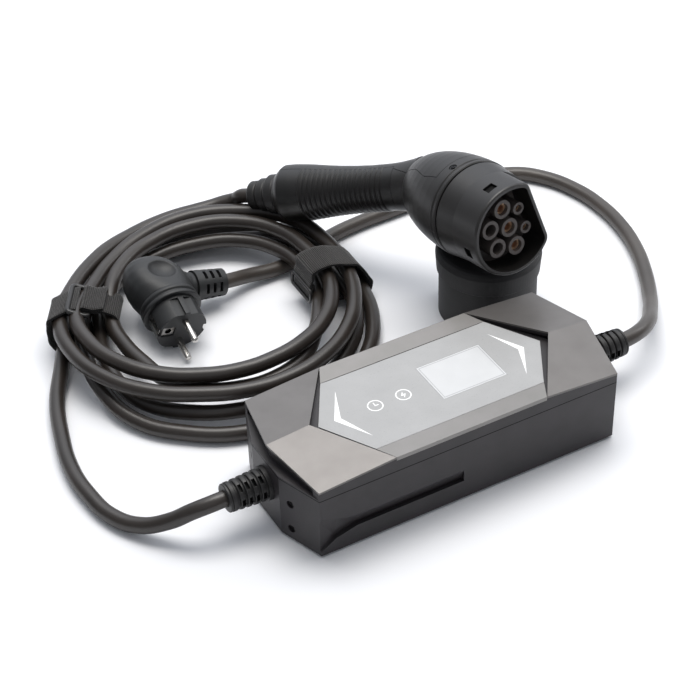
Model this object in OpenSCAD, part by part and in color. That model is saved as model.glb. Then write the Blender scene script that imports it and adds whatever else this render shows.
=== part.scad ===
// Portable charger for electric cars: a control box on a cable, a seven-way vehicle connector
// with its dust cap, and an angled earthed mains plug.
// The origin is the middle of the control box's underside. +X runs along the box, +Z is up.

/* [Control box] */
// Length of the box's long sides
body_l = 220; // [200:1:250]
// Width across the long sides
body_w = 100; // [92:1:120]
// How far the middle of each end stands out past the corners
end_out = 11.6; // [6:0.2:16]
// Half width of the flat middle of each end
end_flat = 18; // [14:1:26]
// How far the small corner facet stands out at each end
corner_out = 2.2; // [1:0.2:3]
// Length of the small corner facet across the box
corner_run = 6; // [3:1:9]
// Height of the seam between base and cover
seam_z = 48; // [46:1:60]
// Thickness of the base's walls and floor
wall = 2.6; // [2:0.2:3.4]
// Chamfer along the base's bottom edge
foot_chamfer = 1.6; // [0.6:0.2:2.4]

/* [Cover and plates] */
// Height of the end plates' outer corners above the seam
corner_rise = 7.4; // [6:0.2:10]
// Height of the end plates' inner side corners above the seam
shoulder_rise = 11.6; // [10.4:0.2:14]
// Height of the ridge at the box's ends above the seam
ridge_rise = 13; // [11:0.2:16]
// Height of the ridge's inner peak above the seam
peak_rise = 15.6; // [14:0.2:18]
// Thickness of the silver end plates
plate_t = 1.4; // [1:0.1:2]
// Half distance between the end plates along the sides
shoulder_x = 55.4; // [52:0.2:60]
// Half distance between the ridge's inner peaks
peak_x = 89.4; // [87:0.2:94]
// How far the end plates' points stand out past the box's corners
nose_out = 10; // [5:0.5:10.5]
// Height of the touch panel's face above the seam
panel_rise = 10.9; // [10:0.1:12]
// Thickness of the touch panel
panel_t = 1.2; // [1:0.1:1.6]
// Half length of the touch panel's straight sides
panel_side_x = 62.1; // [60:0.1:64]
// Half width of the touch panel
panel_side_y = 36.3; // [32:0.1:40]
// Half length of the touch panel from point to point
panel_tip_x = 83.2; // [80:0.1:84.5]
// Clearance between pieces that lie in each other
fit_gap = 0.15; // [0.1:0.05:0.25]
// Clearance round a cable where it passes through a piece
cable_gap = 0.3; // [0.25:0.05:0.4]

/* [Display] */
// Length of the display window
window_l = 48; // [40:1:52]
// Width of the display window
window_w = 35.5; // [28:0.5:40]
// Middle of the display window along the box
window_x = 22.3; // [16:0.1:28]
// Depth of the printed marks' pockets in the panel
mark_depth = 0.4; // [0.3:0.1:0.5]
// Middle of the first touch ring along the box
ring_one_x = -42.3; // [-46:0.1:-38]
// Middle of the second touch ring along the box
ring_two_x = -21.6; // [-26:0.1:-18]
// Radius of the touch rings
ring_r = 5.3; // [4:0.1:6]

/* [Strain reliefs] */
// Height of the cables' axis above the floor at the box
cable_z = 30; // [26:1:34]
// Length of each strain relief outside the box
relief_l = 29; // [22:1:34]
// Radius of the strain relief at the box
relief_r = 11; // [10:0.2:12]
// Radius of the strain relief at its outer end
relief_tip_r = 9.6; // [8.6:0.2:10.4]
// Number of ribs along the strain relief
relief_ribs = 5; // [3:1:6]

/* [Cables] */
// Diameter of the connector's cable
gun_cable_d = 11; // [9:0.5:12]
// Diameter of the mains plug's cable
plug_cable_d = 11; // [9:0.5:12]
// Inner radius of the coil
coil_in = 74; // [70:1:76]
// Outer radius of the coil
coil_out = 106; // [100:1:106]
// Height of the coil above the straps' underside
coil_h = 34; // [24:1:35]

/* [Straps] */
// Width of the straps
strap_w = 26; // [20:1:30]
// Thickness of the straps
strap_t = 1.8; // [1.2:0.1:2]

/* [Connector] */
// Distance from the middle contact to its neighbours in the row
contact_pitch = 16.1; // [16:0.1:16.2]
// Radius of the connector's nose
nose_r = 33; // [32.6:0.1:33.2]
// Height of the nose's flat side above the middle contact
nose_flat = 22.8; // [22:0.1:23.4]
// Radius of the corners at the nose's flat side
nose_corner = 8; // [6:0.5:9]
// Wall of the nose
nose_wall = 3; // [2.4:0.1:3.2]
// Length of the nose in front of the housing
nose_l = 42; // [40:0.5:44]
// How far the nose's rim stands in front of the contact towers
rim_l = 5.5; // [4:0.5:6.5]
// Depth of the nose's hollow behind the towers' front
socket_depth = 20; // [16:1:24]
// Radius of the power contacts' towers
tower_r = 6.7; // [6.4:0.1:7]
// Radius of the pilot contacts' towers
pilot_tower_r = 4.4; // [4:0.1:4.8]
// Radius of a power pin that the connector takes
pin_hole_r = 3; // [2.9:0.05:3.1]
// Radius of the housing behind the nose
head_r = 35.2; // [35:0.1:36.4]
// Length of the housing's front ring
head_ring = 15; // [12:1:18]
// Length of the housing behind the nose
head_l = 72; // [68:1:76]
// Bend of the handle against the nose's axis
handle_bend = 33; // [31:0.1:34]
// Length of the handle from the bend to its rear edge
handle_l = 121; // [116:1:124]
// Radius of the handle at its rear
handle_r = 21; // [20:0.1:22]
// Radius of the handle's inner tube
handle_core_r = 12; // [9:0.5:14]
// Angle round the handle that the ribbed grip takes
grip_span = 190; // [160:2:240]
// Number of grip ribs
grip_ribs = 17; // [12:1:20]
// Height of the grip ribs
grip_rib_h = 0.9; // [0.5:0.1:1.3]
// Length of the cable's gland behind the handle
gland_l = 27; // [25:1:32]

/* [Dust cap] */
// Length of the cap's narrow sleeve
cap_sleeve_l = 36; // [32:1:40]
// Whole height of the cap
cap_h = 55; // [51:0.1:55.2]
// Wall of the cap's sleeve
cap_wall = 2; // [1.6:0.1:2.4]
// How far the cap's wide end stands out past the sleeve
cap_rim = 2.6; // [2:0.2:3.2]

/* [Mains plug] */
// Radius of the plug's face
plug_face_r = 18.5; // [18:0.1:18.6]
// Length of the plug's face carrier
plug_face_l = 17; // [16:0.5:18]
// Radius of the plug's pins
plug_pin_r = 2.4; // [2.3:0.05:2.45]
// Length of the plug's pins
plug_pin_l = 19; // [18:0.5:19.5]
// Distance between the plug's pins
plug_pin_pitch = 19; // [18.8:0.1:19.2]
// Radius of the plug's collar
plug_collar_r = 22; // [21:0.1:22.6]

/* [Hidden] */
$fn = 64;

charcoal = "#454246";
silver = "#a9a7a4";
light_silver = "#c4c4c4";
cable_grey = "#3a3836";
gun_black = "#2a2828";
plug_grey = "#3c3f41";
contact_brass = "#c08a60";

hl = body_l / 2;
hw = body_w / 2;
end_x = hl + end_out;
corner_z = seam_z + corner_rise;
shoulder_z = seam_z + shoulder_rise;
ridge_z = seam_z + ridge_rise;
peak_z = seam_z + peak_rise;
panel_z = seam_z + panel_rise;
deck_t = 2.2;
frame_z = panel_z - deck_t;
lip_t = 1.5;
end_recess = 2.4;
cover_wall = 2.4;
gasket_t = 1;
gasket_w = 1.2;

// Heights inside the box
board_t = 1.6;
board_z = wall + 6;
board_top = board_z + board_t;
display_board_z = seam_z - 4;
board_margin = 8;

// Where the connector, its cap and the mains plug lie
gun_at = [104, 71, 99];
gun_turn = [58, 71, -25.5];
cap_at = [114.5, 111.8, 0];
cap_turn = 61;
plug_at = [-96, 180, 17.7];
plug_turn = [106, 13.5, 0.7];
coil_at = [-68, 180, 0];
strap_left_az = 149;
strap_right_az = -1;

// Plan outline of the box, moved in by d
function half_outline(d) = [
    [hl - d, -(hw - d)],
    [hl + corner_out - d, -(hw - corner_run - d / 2)],
    [end_x - d, -(end_flat - d / 4)],
    [end_x - d, end_flat - d / 4],
    [hl + corner_out - d, hw - corner_run - d / 2],
    [hl - d, hw - d]];
function outline(d) = concat(half_outline(d), [for (p = half_outline(d)) [-p[0], -p[1]]]);

// Solid between two lists of heights over one plan polygon, its ends split from the first corner
module slab(pts, z_low, z_top) {
    n = len(pts);
    low = [for (i = [0 : n - 1]) [pts[i][0], pts[i][1], z_low[i]]];
    top = [for (i = [0 : n - 1]) [pts[i][0], pts[i][1], z_top[i]]];
    sides = [for (i = [0 : n - 1]) [i, n + i, n + (i + 1) % n, (i + 1) % n]];
    polyhedron(concat(low, top), concat([for (i = [1 : n - 2]) [0, i, i + 1]],
        [for (i = [1 : n - 2]) [n, n + i + 1, n + i]], sides));
}

module both_sides() {
    children();
    mirror([0, 1, 0]) children();
}

module both_ends() {
    children();
    mirror([1, 0, 0]) children();
}

// Half of one roof facet pair at the right end: plan corners and their heights
function facet_pts(inset) = [
    [hl - inset, -(hw - inset)], [hl + nose_out - inset, 0], [peak_x, 0],
    [shoulder_x, -(hw - inset)]];
function facet_z(drop) = [corner_z - drop, ridge_z - drop, peak_z - drop, shoulder_z - drop];

module roof_half(inset, drop, low) {
    slab(facet_pts(inset), [for (i = [0 : 3]) low], facet_z(drop));
}

module facet_plate() {
    drop = facet_z(plate_t);
    slab(facet_pts(0), drop, facet_z(0));
}

// The middle of the top, between the two end plates
deck_pts = [[shoulder_x, -hw], [peak_x, 0], [shoulder_x, hw],
    [-shoulder_x, hw], [-peak_x, 0], [-shoulder_x, -hw]];
frame_tip_x = (panel_tip_x + peak_x) / 2 - 2;
frame_pts = [[shoulder_x - fit_gap, -hw], [panel_side_x + 0.8, -panel_side_y],
    [panel_tip_x + 0.8, 0], [panel_side_x + 0.8, panel_side_y], [shoulder_x - fit_gap, hw]];
function panel_pts(d) = [
    [panel_side_x - d / 2, -(panel_side_y - d)], [panel_tip_x - d * 1.2, 0],
    [panel_side_x - d / 2, panel_side_y - d], [-(panel_side_x - d / 2), panel_side_y - d],
    [-(panel_tip_x - d * 1.2), 0], [-(panel_side_x - d / 2), -(panel_side_y - d)]];

module end_posts() {
    both_ends() both_sides()
        translate([hl - 12, hw - 20, wall]) cylinder(d = 8, h = board_z - wall);
}

// Place on the slanted facet of the left end, square to its face
facet_angle = atan2(end_out - corner_out, hw - corner_run - end_flat);
screw_along = 9;
screw_heights = [10, 31];
module at_end_screws() {
    both_ends() both_sides()
        translate([-end_x, -end_flat, 0]) rotate([0, 0, facet_angle])
            translate([0, -screw_along, 0])
                for (z = screw_heights) translate([0, 0, z]) rotate([0, 90, 0]) children();
}
screw_recess_r = 2.9;
screw_recess = 1.4;
screw_head_r = 2.6;
screw_head_t = 1.8;
screw_shank_r = 1.4;
screw_l = 9;

// Scooped grip along the front side
scoop_z = 16;
scoop_top = 25;
scoop_right = -6.2;
scoop_left = -84;
scoop_depth = 3.4;
module scoop_cut() {
    translate([scoop_left, -hw, 0]) rotate([90, 0, 90]) linear_extrude(scoop_right - scoop_left)
        polygon([[-1, scoop_z], [scoop_depth, scoop_z], [scoop_depth - 0.6, scoop_z + 1.6],
            [0, scoop_top], [-1, scoop_top + 1]]);
    hull() {
        translate([scoop_left, -hw, 0]) rotate([90, 0, 90]) linear_extrude(0.01)
            polygon([[-1, scoop_z], [scoop_depth, scoop_z], [0, scoop_top], [-1, scoop_top]]);
        translate([-99, -hw, 0]) rotate([90, 0, 90]) linear_extrude(0.01)
            polygon([[-1, 12.2], [scoop_depth * 0.8, 12.6], [0, 28], [-1, 28]]);
    }
    hull() {
        translate([-99, -hw, 0]) rotate([90, 0, 90]) linear_extrude(0.01)
            polygon([[-1, 12.2], [scoop_depth * 0.8, 12.6], [0, 28], [-1, 28]]);
        translate([-hl - 2, -hw, 0]) rotate([90, 0, 90]) linear_extrude(0.01)
            polygon([[-1, 4], [1, 4.6], [0.2, 33], [-1, 33]]);
    }
}

module base_shell() color(charcoal) difference() {
    union() {
        difference() {
            union() {
                hull() {
                    linear_extrude(0.01) polygon(outline(foot_chamfer));
                    translate([0, 0, foot_chamfer]) linear_extrude(0.01) polygon(outline(0));
                }
                translate([0, 0, foot_chamfer]) linear_extrude(seam_z - foot_chamfer)
                    polygon(outline(0));
            }
            translate([0, 0, wall]) linear_extrude(seam_z) polygon(outline(wall));
        }
        translate([-hl + 1, -hw + wall - 0.4, wall - 0.5])
            cube([hl + scoop_right + 3, scoop_depth, scoop_top + 8]);
        end_posts();
        intersection() {
            at_end_screws() translate([0, 0, 1]) cylinder(d = 8, h = screw_l + 3);
            translate([0, 0, 1]) linear_extrude(seam_z - 2) polygon(outline(1));
        }
    }
    scoop_cut();
    at_end_screws() translate([0, 0, -4]) cylinder(r = screw_recess_r, h = 4 + screw_recess + screw_head_t);
    at_end_screws() cylinder(r = screw_shank_r + 0.1, h = screw_l + 2);
    both_ends() translate([hl - 20, 0, cable_z]) rotate([0, 90, 0])
        cylinder(r = neck_r + fit_gap, h = 60);
    translate([0, 0, seam_z - gasket_t]) gasket_ring(gasket_w + 0.3);
}

module end_screws() color("#b8b8ba") at_end_screws() difference() {
    translate([0, 0, screw_recess]) {
        cylinder(r = screw_head_r, h = screw_head_t);
        cylinder(r = screw_shank_r, h = screw_l);
    }
    translate([0, 0, screw_recess - 0.1]) for (a = [0, 90]) rotate([0, 0, a])
        translate([-1.6, -0.35, 0]) cube([3.2, 0.7, 1]);
}

module gasket_ring(w) {
    linear_extrude(gasket_t * 2) difference() {
        polygon(outline(wall / 2 - w / 2));
        polygon(outline(wall / 2 + w / 2));
    }
}

module seam_gasket() color("#202020") translate([0, 0, seam_z - gasket_t])
    linear_extrude(gasket_t) difference() {
        polygon(outline(wall / 2 - gasket_w / 2));
        polygon(outline(wall / 2 + gasket_w / 2));
    }

// Cover: a lip along the seam, then walls that follow the end plates' edges
module cover_block(inset, drop, low) {
    both_ends() both_sides() roof_half(inset, drop, low);
    translate([0, 0, low]) linear_extrude(frame_z - low) polygon([for (p = deck_pts)
        [p[0], sign(p[1]) * max(abs(p[1]) - inset, 0)]]);
}

display_hole_l = window_l + 4;
display_hole_w = window_w + 4;
display_board_l = 76;
display_board_w = 60;
display_board_dx = -6;
display_hole_in = 5.5;
display_hole_at = [for (i = [-1, 1], j = [-1, 1]) [
    window_x + display_board_dx + i * (display_board_l / 2 - display_hole_in),
    j * (display_board_w / 2 - display_hole_in)]];
display_post_r = 1.5;
module display_posts() for (p = display_hole_at) translate([p[0], p[1], 0]) {
    translate([0, 0, display_board_z + board_t]) cylinder(r = 3, h = frame_z - display_board_z - board_t - 1);
    translate([0, 0, display_board_z - 1]) cylinder(r = display_post_r, h = 8);
}

module cover_shell() color(charcoal) {
    display_posts();
    cover_body();
}

module cover_body() difference() {
    union() {
        translate([0, 0, seam_z]) linear_extrude(lip_t) polygon(outline(0));
        difference() {
            cover_block(0, plate_t, seam_z + 0.5);
            both_ends() both_sides() translate([0, 0, seam_z + lip_t]) linear_extrude(20)
                polygon([[hl + corner_out, -(hw - corner_run)],
                    [hl - end_recess * 0.2, -(hw - corner_run)],
                    [hl + nose_out - end_recess, 0], [end_x + 5, 0], [end_x + 5, -end_flat]]);
        }
    }
    difference() {
        translate([0, 0, -0.1]) cover_block(cover_wall, plate_t + cover_wall, seam_z - 0.1);
        translate([hl - cover_wall * 2, -body_w, 0]) cube([50, body_w * 2, 100]);
        translate([-hl + cover_wall * 2 - 50, -body_w, 0]) cube([50, body_w * 2, 100]);
        translate([-peak_x, -body_w, frame_z - cover_wall]) cube([peak_x * 2, body_w * 2, 3]);
    }
    translate([window_x - display_hole_l / 2, -display_hole_w / 2, 0])
        cube([display_hole_l, display_hole_w, 100]);
}

module end_plate() both_sides() facet_plate();
module end_plate_right() color(silver) end_plate();
module end_plate_left() color(silver) mirror([1, 0, 0]) end_plate();

// Raised bands along both sides, with the bed that the touch panel lies in
module centre_frame() color("#b3b0ad") difference() {
    union() {
        both_sides() both_ends() slab(
            [[0, -hw], [shoulder_x - fit_gap, -hw], [panel_side_x, -panel_side_y],
                [0, -panel_side_y]],
            [for (i = [0 : 3]) frame_z], [shoulder_z, shoulder_z, panel_z, panel_z]);
        translate([0, 0, frame_z]) linear_extrude(deck_t - panel_t)
            polygon(panel_pts(-0.1));
    }
    translate([window_x - display_hole_l / 2, -display_hole_w / 2, 0])
        cube([display_hole_l, display_hole_w, 100]);
}

module chevron(tip_x, corner_x, inner_x, half_y) {
    polygon([[tip_x, half_y], [corner_x, 0], [tip_x, -half_y], [inner_x, 0]]);
}
module chevron_shapes() {
    chevron(-57.5, -71.7, -67, 24.6);
    mirror([1, 0]) chevron(-57, -70.4, -66, 24);
}

ring_y = -0.6;
ring_line = 0.8;
module ring_shapes() {
    for (x = [ring_one_x, ring_two_x]) translate([x, ring_y]) difference() {
        circle(r = ring_r);
        circle(r = ring_r - ring_line);
    }
    translate([ring_one_x, ring_y]) polygon([[-0.35, -0.35], [2.4, -0.35], [2.4, 0.35],
        [0.35, 0.35], [0.35, 3], [-0.35, 3]]);
    translate([ring_two_x, ring_y])
        polygon([[0.6, 3], [-1.9, -0.5], [-0.2, -0.5], [-0.6, -3], [1.9, 0.5], [0.2, 0.5]]);
}

module touch_panel() color(light_silver) difference() {
    translate([0, 0, panel_z - panel_t]) linear_extrude(panel_t) polygon(panel_pts(fit_gap));
    translate([window_x - window_l / 2, -window_w / 2, panel_z - 10])
        cube([window_l, window_w, 20]);
    translate([0, 0, panel_z - mark_depth]) linear_extrude(5) {
        chevron_shapes();
        ring_shapes();
    }
}

module panel_chevrons() color("white") translate([0, 0, panel_z - mark_depth])
    linear_extrude(mark_depth) chevron_shapes();

module touch_rings() color("white") translate([0, 0, panel_z - mark_depth])
    linear_extrude(mark_depth) ring_shapes();

module display_window() color("#f2f2f2") {
    translate([window_x - window_l / 2 + fit_gap, -window_w / 2 + fit_gap, panel_z - panel_t])
        cube([window_l - 2 * fit_gap, window_w - 2 * fit_gap, panel_t]);
}

module display_module() color("#d9dcdf")
    translate([window_x - window_l / 2 + fit_gap, -window_w / 2 + fit_gap, display_board_z + board_t])
        cube([window_l - 2 * fit_gap, window_w - 2 * fit_gap,
            panel_z - panel_t - display_board_z - board_t]);

module display_board() color("#1f4d2b") difference() {
    translate([window_x + display_board_dx - display_board_l / 2, -display_board_w / 2, display_board_z])
        cube([display_board_l, display_board_w, board_t]);
    for (p = display_hole_at) translate([p[0], p[1], display_board_z - 1])
        cylinder(r = display_post_r + 0.1, h = board_t + 2);
}

// Ribbed strain relief along +X, its neck passing through the end wall
neck_r = 9.4;
nut_t = 4;
flange_t = 3;
rib_depth = 1.5;
rib_floor = 1.6;
module strain_relief(cable_d) {
    pitch = (relief_l - flange_t - 2) / relief_ribs;
    difference() {
        union() {
            translate([0, 0, -wall - nut_t]) cylinder(r = neck_r, h = wall + nut_t + 1);
            cylinder(r = relief_r + 0.6, h = flange_t);
            rotate_extrude() polygon(concat([[0, 0]],
                [for (i = [0 : relief_ribs - 1]) let (z = flange_t + i * pitch,
                    r = relief_r + (relief_tip_r - relief_r) * i / relief_ribs)
                    each [[r - rib_depth, z], [r - rib_depth, z + rib_floor * 0.8],
                        [r - 0.3, z + rib_floor], [r, z + rib_floor + 0.5],
                        [r, z + pitch - 0.5], [r - 0.3, z + pitch]]],
                [[relief_tip_r - rib_depth, relief_l - 2], [relief_tip_r, relief_l - 1.6],
                    [relief_tip_r, relief_l - 0.4], [relief_tip_r - 0.4, relief_l],
                    [0, relief_l]]));
        }
        translate([0, 0, -40]) cylinder(d = cable_d + 2 * cable_gap, h = 100);
        for (i = [0 : relief_ribs - 2], a = [60, -60, 120, -120])
            translate([0, 0, flange_t + (i + 0.35) * pitch]) rotate([0, 0, a + 30])
                translate([cable_d / 2 + 1.2, -2.6, 0]) cube([10, 5.2, pitch * 0.5]);
    }
}
module at_left_end() translate([-end_x, 0, cable_z]) rotate([0, -90, 0]) children();
module at_right_end() translate([end_x, 0, cable_z]) rotate([0, 90, 0]) children();

module strain_relief_left() color(gun_black) at_left_end() strain_relief(gun_cable_d);
module strain_relief_right() color(gun_black) at_right_end() strain_relief(plug_cable_d);

module relief_nut() difference() {
    translate([0, 0, -wall - nut_t]) cylinder(r = neck_r + 3.6, h = nut_t);
    translate([0, 0, -40]) cylinder(r = neck_r + 0.05, h = 80);
    for (a = [0 : 60 : 300]) rotate([0, 0, a]) translate([neck_r + 2.6, -10, -40]) cube([10, 20, 80]);
}
module relief_nuts() color("#6f7173") {
    at_left_end() relief_nut();
    at_right_end() relief_nut();
}

board_l = 2 * (hl - board_margin);
board_w = 2 * (hw - wall - 6);
module main_board() color("#1f5a34") difference() {
    translate([-board_l / 2, -board_w / 2, board_z]) cube([board_l, board_w, board_t]);
    both_ends() both_sides()
        translate([hl - 12, hw - 20, 0]) cylinder(r = 1.7, h = 100);
    both_ends() translate([board_l / 2 - 2, -13, 0]) cube([20, 26, 100]);
}

relay_l = 30;
relay_w = 16;
relay_h = 26;
module relays() color("#2f5f8f") for (y = [-22, 6]) difference() {
    translate([8, y, board_top]) cube([relay_l, relay_w, relay_h]);
    translate([7, y + relay_w / 2 - 4, board_top + relay_h - 1]) cube([relay_l + 2, 8, 2]);
}

sensor_r = 13;
sensor_bore_r = 7;
sensor_w = 12;
sensor_foot = 20;
module current_sensor() color("#202428") translate([-30, 0, board_top + sensor_r])
    rotate([0, 90, 0]) difference() {
        union() {
            cylinder(r = sensor_r, h = sensor_w, center = true);
            translate([sensor_r - 4, -sensor_foot / 2, -sensor_w / 2]) cube([4, sensor_foot, sensor_w]);
        }
        cylinder(r = sensor_bore_r, h = 2 * sensor_w, center = true);
    }

supply_x = 41;
transformer_l = 18;
transformer_w = 22;
transformer_h = 20;
capacitor_d = 13;
capacitor_h = 22;
capacitor_y = 20;
module power_supply() color("#c9a227") {
    translate([supply_x, -transformer_w, board_top]) cube([transformer_l, transformer_w, transformer_h]);
    translate([supply_x + transformer_l / 2, capacitor_y, board_top])
        cylinder(d = capacitor_d, h = capacitor_h);
}

clamp_x = 84;
terminal_l = 10;
terminal_w = 28;
terminal_h = 14;
terminal_pitch = 9;
terminal_x = clamp_x - 22;
module terminal_block() color("#3f7f5f") both_ends() difference() {
    translate([terminal_x, -terminal_w / 2, board_top]) cube([terminal_l, terminal_w, terminal_h]);
    for (i = [-1 : 1]) translate([terminal_x, i * terminal_pitch, board_top]) {
        translate([-1, 0, 6]) rotate([0, 90, 0]) cylinder(r = 2, h = terminal_l + 2);
        translate([terminal_l / 2, 0, terminal_h - 5]) cylinder(r = 2.4, h = 6);
    }
}

// Saddles that hold the cables' inner ends above the board
saddle_w = 10;
module saddle(cable_d) difference() {
    translate([clamp_x, -12, board_top])
        cube([saddle_w, 24, cable_z - board_top + cable_d / 2 + 3]);
    translate([clamp_x - 5, 0, cable_z]) rotate([0, 90, 0])
        cylinder(d = cable_d + 2 * cable_gap, h = 40);
}
module cable_saddles() color("#2b2b2d") {
    saddle(plug_cable_d);
    mirror([1, 0, 0]) saddle(gun_cable_d);
}

// Connector: origin at the middle contact's front, +Z out of the face, +Y towards the flat side
module in_gun() translate(gun_at) rotate(gun_turn) children();
housing_z = -(nose_l - rim_l);
nose_neck_r = nose_r - 4;
seal_t = 1.6;
row_drop = contact_pitch * sqrt(3) / 2;
pilot_x = 8.3;
pilot_y = 11.5;
power_at = [[-contact_pitch, 0], [0, 0], [contact_pitch, 0]];
spare_at = [[-contact_pitch / 2, -row_drop], [contact_pitch / 2, -row_drop]];
pilot_at = [[-pilot_x, pilot_y], [pilot_x, pilot_y]];

// Outline of the nose, moved in by d: a circle with a flat side and two round corners
corner_in = nose_r - nose_corner;
corner_y = nose_flat - nose_corner;
corner_x = sqrt(pow(corner_in, 2) - pow(corner_y, 2));
corner_a = asin(corner_y / corner_in);
function corner_arc(d) = [for (i = [0 : 6]) let (a = corner_a + (90 - corner_a) * i / 6)
    [corner_x + (nose_corner - d) * cos(a), corner_y + (nose_corner - d) * sin(a)]];
module nose_outline(d) {
    intersection() {
        circle(r = nose_r - d, $fn = 96);
        translate([-2 * nose_r, -2 * nose_r])
            square([4 * nose_r, 2 * nose_r + (nose_r - d) * sin(corner_a)]);
    }
    polygon(concat([[corner_x, 0]], corner_arc(d),
        [for (i = [6 : -1 : 0]) [-corner_arc(d)[i][0], corner_arc(d)[i][1]]], [[-corner_x, 0]]));
}
module d_shape(d, h) linear_extrude(h) nose_outline(d);

// Soft front edge, and the pockets that the car's lock reaches into
lock_w = 8;
lock_skin = 0.6;
rim_soft = 1.6;
module gun_nose() color(gun_black) in_gun() difference() {
    union() {
        translate([0, 0, housing_z]) d_shape(0, nose_l - rim_soft);
        hull() {
            translate([0, 0, rim_l - rim_soft - 1]) d_shape(0.02, 1);
            translate([0, 0, rim_l - rim_soft / 2]) d_shape(0.35, 0.1);
            translate([0, 0, rim_l - 0.1]) d_shape(1.1, 0.1);
        }
        translate([0, 0, housing_z]) cylinder(r1 = nose_r + 1.6, r2 = nose_r, h = 16, $fn = 96);
        translate([0, 0, housing_z - 6]) cylinder(r = nose_neck_r, h = 7, $fn = 96);
    }
    translate([0, 0, -socket_depth]) d_shape(nose_wall, 60);
    for (a = [180, 270, 0]) rotate([0, 0, a])
        translate([nose_r - nose_wall + lock_skin, -lock_w / 2, -9]) cube([6, lock_w, lock_w - 1]);
}

module nose_seal() color("#141414") in_gun() translate([0, 0, housing_z - seal_t]) difference() {
    cylinder(r = nose_r - 0.4, h = seal_t - 0.05, $fn = 96);
    translate([0, 0, -1]) cylinder(r = nose_neck_r + 0.05, h = 10, $fn = 96);
}

module contact_block() color("#1b1918") in_gun() difference() {
    union() {
        translate([0, 0, -socket_depth]) d_shape(nose_wall + fit_gap, 4);
        for (p = concat(power_at, spare_at)) translate([p[0], p[1], -socket_depth])
            cylinder(r = tower_r, h = socket_depth, $fn = 48);
        for (p = pilot_at) translate([p[0], p[1], -socket_depth])
            cylinder(r = pilot_tower_r, h = socket_depth, $fn = 40);
    }
    for (p = concat(power_at, spare_at)) translate([p[0], p[1], -socket_depth + 2])
        cylinder(r = pin_hole_r + 1.3, h = 60, $fn = 40);
    for (p = pilot_at) translate([p[0], p[1], -socket_depth + 2])
        cylinder(r = 2.6, h = 60, $fn = 32);
}

module power_contacts() color(contact_brass) in_gun() for (p = power_at)
    translate([p[0], p[1], -socket_depth + 2]) difference() {
        cylinder(r = pin_hole_r + 1.2, h = socket_depth - 5, $fn = 40);
        translate([0, 0, 2]) cylinder(r = pin_hole_r, h = 60, $fn = 40);
    }

module pilot_contacts() color(contact_brass) in_gun() for (p = pilot_at)
    translate([p[0], p[1], -socket_depth + 2]) difference() {
        cylinder(r = 2.5, h = socket_depth - 5, $fn = 32);
        translate([0, 0, 2]) cylinder(r = 1.5, h = 60, $fn = 32);
    }

// Handle axis: starts behind the head and runs back and down
bend_z = housing_z - 57;
module in_handle() in_gun() translate([0, 0, bend_z]) rotate([180 - handle_bend, 0, 0]) children();

// Housing: a slightly flattened dome behind a straight front ring
head_z = housing_z - seal_t;
dome_power = 2.1;
groove_z = 3;
groove_w = 1.2;
function dome_r(d) = head_r * pow(1 - pow(d / head_l, dome_power), 1 / dome_power);
head_profile = concat([[0, 0], [head_r - 0.8, 0], [head_r, 0.8], [head_r, groove_z],
    [head_r - 0.9, groove_z], [head_r - 0.9, groove_z + groove_w]],
    [for (a = [4, each [6 : 6 : 84]]) [dome_r(head_l * sin(a)), head_l * sin(a)]], [[0, head_l]]);

// Handle: an arc swells the neck into the housing, and the rear widens to a soft edge
neck_start = 4;
neck_end = 34;
neck_arc = 120;
waist_r = 16.8;
sleeve_z = 22;
function neck_swell(z) = waist_r + neck_arc - sqrt(pow(neck_arc, 2) - pow(neck_end - z, 2));
handle_profile = concat([for (z = [neck_start : 6 : neck_end]) [neck_swell(z), z]],
    [[16.6, 44], [16.9, 56], [17.7, 70], [18.8, 82], [handle_r - 0.8, 95], [handle_r, 107],
    [handle_r, handle_l - 6], [handle_r - 0.8, handle_l - 4.4], [handle_r - 4.4, handle_l]]);
function handle_radius(z) = lookup(z, [for (p = handle_profile) [p[1], p[0]]]);
rib_start = 30.5;
rib_end = 99;
rib_pitch = (rib_end - rib_start) / grip_ribs;
spine_gap = 1;

module head_and_neck() {
    in_gun() translate([0, 0, head_z]) mirror([0, 0, 1])
        rotate_extrude($fn = 96) polygon(head_profile);
    in_handle() rotate_extrude($fn = 72) polygon(concat([[0, neck_start]],
        [for (z = [neck_start : 6 : sleeve_z]) [neck_swell(z), z]], [[0, sleeve_z]]));
}

// The cover takes the upper rear of the housing. Its lower edge is a line of
// distances behind the cover's front and heights above the middle contact.
cover_z = head_z - head_ring + 1.5;
cover_line = [[0, -11.6], [14, -13.9], [29, -10.2], [40, -10.4], [60, -12.4], [110, -12.4]];
cover_top = 60;
seam_gap = 0.4;
module cover_zone(d) in_gun() translate([-60, 0, cover_z + d]) rotate([90, 0, 90])
    linear_extrude(120) polygon(concat([[cover_top, 0]],
        [for (p = cover_line) [p[1] - d, -p[0]]], [[cover_top, -110]]));

module core_zone(d) in_handle() cylinder(r = handle_core_r + d, h = 400);

screw_z = head_z - 8;
module at_gun_screw() in_gun() translate([-head_r, 0, screw_z]) rotate([0, 90, 0]) children();

module gun_shell() color(gun_black) difference() {
    union() {
        difference() {
            head_and_neck();
            cover_zone(seam_gap);
        }
        in_handle() cylinder(r = handle_core_r, h = handle_l);
    }
    in_gun() translate([0, 0, head_z - 8]) cylinder(r = nose_neck_r + fit_gap, h = 12);
    in_handle() translate([0, 0, 60]) cylinder(d = gun_cable_d + 2 * cable_gap, h = 100);
    at_gun_screw() translate([0, 0, -4]) cylinder(r = 2.9, h = 7);
    at_gun_screw() cylinder(r = 1.5, h = 10);
}

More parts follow.
